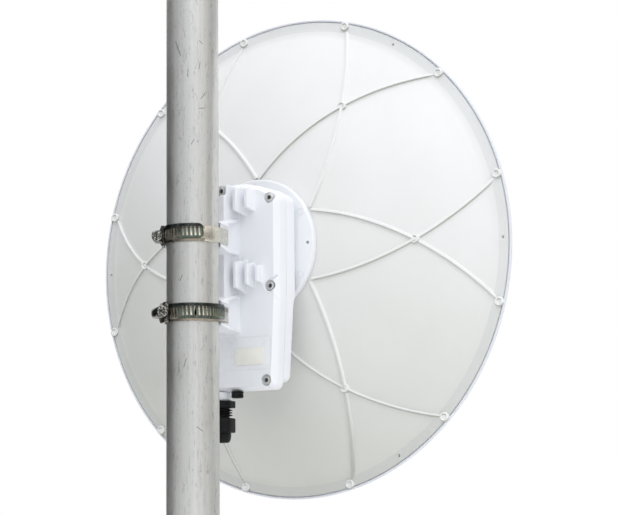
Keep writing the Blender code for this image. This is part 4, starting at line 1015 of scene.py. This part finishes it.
on_arc = math_of("GREATER_THAN", vector_of("LENGTH", vector_of("MULTIPLY", spot, (1, 1, 0))), TAIL_REACH)
on_run = math_of("GREATER_THAN", out_along, TAIL_REACH)
straight = math_of("GREATER_THAN", past_leaving, 0.0)
is_tail = math_of("ADD", math_of("MULTIPLY", straight, on_run),
                  math_of("MULTIPLY", math_of("SUBTRACT", 1.0, straight), on_arc))

bright = ramp(rolling, (0.35, (0.66, 0.63, 0.54)), (0.65, (0.76, 0.73, 0.63)))
# Painted shadow: the band's edges are darkened where the tail would shade them, on the lower band all
# round and on the upper band nearer the worms.
lower_or_near = math_of("GREATER_THAN", math_of("ADD", to_worms, math_of("SUBTRACT", 1.0, is_upper)),
                        UPPER_EDGE_SHADED_FROM)
shaded = math_of("MULTIPLY", math_of("GREATER_THAN", aside, SHADED_EDGE_FROM), lower_or_near)
bright = blend(math_of("MULTIPLY", shaded, 0.85), bright, (0.24, 0.20, 0.15))
# Painted shade: the bright band darkens toward the worms' side.
bright = blend(eased_share(to_worms, *SHADED_NEAR_WORMS), bright, (0.10, 0.09, 0.07))
# Painted reflection and shade: the tail is coloured dark green-grey, darkest toward its edges.
tail_painted_dark = ramp(math_of("DIVIDE", aside, BAND_HALF_WIDTH), (0.0, (0.21, 0.24, 0.18)),
            (0.45, (0.17, 0.20, 0.16)), (0.72, (0.08, 0.095, 0.085)), (1.0, (0.030, 0.036, 0.035)))
tail_painted_dark = stained(tail_painted_dark, folds, 0.42, 0.62, 0.55, (0.10, 0.105, 0.09))
# Painted highlight: lighter glints along the middle of the tail toward the worms.
glinting = math_of("MULTIPLY", eased_share(to_worms, *GLINTS),
                   math_of("LESS_THAN", aside, GLINT_HALF_WIDTH))
tail_painted_dark = blend(glinting, tail_painted_dark, (0.42, 0.39, 0.33))
strip = stained(blend(is_tail, bright, tail_painted_dark), stains, 0.56, 0.74, 0.35, (0.12, 0.11, 0.09))
give(shader.inputs["Base Color"], strip)
vary(shader, "Roughness", stains, (0.3, 0.20), (0.7, 0.38))
relief(shader, rolling, 0.12, 0.0001)


def edged(name, node, material, edge, segments=2):
    """A clamp's steel part: its solid with every edge broken."""
    shape = solid_of(node)
    bmesh.ops.dissolve_limit(shape, angle_limit=math.radians(2), verts=shape.verts, edges=shape.edges)
    made = piece(name, shape, material, [node], recalc=False)
    broken = made.modifiers.new("broken edges", "BEVEL")
    broken.width = edge
    broken.segments = segments
    broken.limit_method = "ANGLE"
    broken.angle_limit = math.radians(40)
    settle(made)


for clamp in ("upper_clamp", "lower_clamp"):
    edged(f"{clamp}_strip", f"{clamp}_band", band_steel, BAND_EDGE)


# Worm housings and screws. Each housing is pressed strip folded over the worm, and the screw
# has a turned collar, a round head and a driver slot.
WORM_OFFSET = 0.0268
WORM_RADIUS = 0.0034
WORM_DEPTH = 0.0009
WORM_PITCH = 0.0031
WORM_TURNS = 3.2
COLLAR_WIDTH = 0.0042
COLLAR_LENGTH = 0.0022
HEX_RADIUS = 0.0036
HEX_EASE = 0.0006
HOUSING_HALF_LENGTH = 0.0070
HOUSING_EDGE = 0.0004
HEAD_LENGTH = 0.0050
DRIVER_SLOT = (0.0010, 0.02, 0.0024, 1)
SLOT_DIRT_AND_SHADE = (0.0008, 0.0050, 0.0006, 1)
SLOT_DIRT_AND_SHADE_BELOW = 0.0008
# Painted reflection: the housing steel is coloured near black, with bright patches as painted glints.
housing_steel, shader = finish("housing_steel", (0.08, 0.08, 0.075), 0.18, 1.0)
pressing_and_glints = noise(shader, 420, 3, 0.6)
vary(shader, "Base Color", pressing_and_glints, (0.40, (0.025, 0.025, 0.023)), (0.56, (0.10, 0.098, 0.09)),
     (0.70, (0.62, 0.58, 0.50)))
vary(shader, "Roughness", pressing_and_glints, (0.3, 0.12), (0.7, 0.26))
relief(shader, pressing_and_glints, 0.10, 0.0003)
# Painted reflection: the worm steel is coloured dark with bright patches, as painted shade and glints.
worm_steel, shader = finish("worm_steel", (0.30, 0.30, 0.28), 0.22, 1.0)
glare = noise(shader, 620, 3, 0.6)
vary(shader, "Base Color", glare, (0.38, (0.035, 0.034, 0.03)), (0.50, (0.24, 0.24, 0.22)),
     (0.66, (0.72, 0.70, 0.64)))
relief(shader, glare, 0.3, 0.0003)


def block(matrix):
    """A unit cube, stretched and placed by a matrix."""
    shape = bmesh.new()
    bmesh.ops.create_cube(shape, size=1, matrix=matrix)
    return shape


start = -HOUSING_HALF_LENGTH + 0.001
head = HOUSING_HALF_LENGTH + FIT
neck = head + COLLAR_LENGTH
top = head + HEAD_LENGTH
hex_radius = HEX_RADIUS - HEX_EASE
worm_core = WORM_RADIUS - WORM_DEPTH
worm_profile = eased([(0, start, 0), (worm_core, start, 0.0003), (worm_core, head, 0),
                      (COLLAR_WIDTH, head, 0.0002), (COLLAR_WIDTH, neck, 0.0006),
                      (hex_radius, neck, 0), (hex_radius, top, 0.0006), (0, top, 0)])
for clamp, bearing in (("upper_clamp", math.radians(32.6)), ("lower_clamp", math.radians(53.5))):
    edged(f"{clamp}_worm_housing", f"{clamp}_housing", housing_steel, HOUSING_EDGE, 3)
    radial = Vector((math.cos(bearing), math.sin(bearing), 0))
    tangent = Vector((-radial.y, radial.x, 0))
    axis_point = radial * WORM_OFFSET + Vector((0, 0, middle_of(f"{clamp}_housing").z))
    screw = piece(f"{clamp}_worm", spun(worm_profile, axis_point, tangent, 48), worm_steel,
                  [f"{clamp}_screw"], 30)
    stand = Matrix((tangent.cross(Vector((0, 0, 1))), (0, 0, 1), tangent)).transposed().to_4x4()
    slot_place = Matrix.Translation(axis_point + tangent * top) @ stand
    cut(screw, block(slot_place @ Matrix.Diagonal(DRIVER_SLOT)), sharp=30)
    # A near-black block in the driver slot: dirt, and painted shade in the slot.
    dirt_and_shade_place = Matrix.Translation(axis_point + tangent * (top - SLOT_DIRT_AND_SHADE_BELOW)) @ stand
    piece(f"{clamp}_slot_dirt_and_shade", block(dirt_and_shade_place @ Matrix.Diagonal(SLOT_DIRT_AND_SHADE)), dirt_and_shade)
    worm = thread(worm_core, 0.0008, WORM_PITCH, WORM_TURNS, axis_point + tangent * (start + 0.0012),
                  tangent, radial)
    piece(f"{clamp}_worm_thread", worm, worm_steel, sharp=30)


# Feed. On the neck in front sit a flange with four screws, a round waveguide, and a cone that
# carries the small reflector disc with its cap.
FLANGE_RADIUS = 0.0420
TUBE_RADIUS = 0.0190
FLANGE_SCREW = (0.0034, 0.0024, 0.0018, 0.0016, 0.0014)
feed_plastic, shader = finish("feed_plastic", (0.82, 0.82, 0.81), 0.3)
cloudy = noise(shader, 22, 3, 0.5)
grain = noise(shader, 1500, 2, 0.5)
vary(shader, "Base Color", cloudy, (0.35, (0.80, 0.80, 0.79)), (0.65, (0.84, 0.84, 0.835)))
vary(shader, "Roughness", cloudy, (0.3, 0.26), (0.7, 0.38))
relief(shader, grain, 0.06, 0.0001)
bare_aluminium, shader = finish("bare_aluminium", (0.78, 0.78, 0.79), 0.28, 1.0)
lathe = noise(shader, 1800, 2, 0.5)
vary(shader, "Base Color", lathe, (0.3, (0.72, 0.72, 0.73)), (0.7, (0.83, 0.83, 0.84)))
relief(shader, lathe, 0.1, 0.00005)


def feed_part(name, node, corners, material=feed_plastic):
    """A turned part of the feed, from (radius, share of the node's length, ease) corners."""
    low, high = (corner[1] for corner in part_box(node))
    profile = [(radius, low + share * (high - low) - RIM_Y, ease) for radius, share, ease in corners]
    piece(name, on_dish(eased(profile, 5), 128), material, [node], 40)


feed_part("feed_flange_moulding", "feed_flange",
          ((0, 1, 0), (FLANGE_RADIUS, 1, 0.0004), (FLANGE_RADIUS, 0, 0.0012),
           (TUBE_RADIUS + 0.006, 0, 0.0008), (TUBE_RADIUS + 0.004, 0.12, 0.0008), (0, 0.12, 0)))
feed_part("waveguide_tube", "feed_tube",
          ((0, 1, 0), (TUBE_RADIUS, 1, 0.0003), (TUBE_RADIUS, 0.84, 0.0003),
           (TUBE_RADIUS - 0.0006, 0.83, 0.0003), (TUBE_RADIUS - 0.0006, 0.06, 0.0003),
           (TUBE_RADIUS, 0.05, 0.0003), (TUBE_RADIUS, 0, 0.0003), (0, 0, 0)))
feed_part("feed_cone_moulding", "feed_cone",
          ((0, 1, 0), (TUBE_RADIUS + 0.0015, 1, 0.0003), (TUBE_RADIUS + 0.003, 0.7, 0.003),
           (FLANGE_RADIUS - 0.0015, 0, 0.0003), (0, 0, 0)))
feed_part("reflector_disc", "sub_reflector",
          ((0, 1, 0), (FLANGE_RADIUS, 1, 0.0003), (FLANGE_RADIUS, 0, 0.0003), (0, 0, 0)),
          bare_aluminium)
feed_part("feed_cap_moulding", "feed_cap",
          ((0, 1, 0), (FLANGE_RADIUS, 1, 0.0003), (FLANGE_RADIUS, 0.4, 0.0020),
           (FLANGE_RADIUS - 0.003, 0.06, 0.0030), (0, 0, 0)))
for number in range(1, 5):
    socket_screw(f"flange_socket_screw_{number}", f"flange_screw_{number}", FLANGE_SCREW, toward=-1)
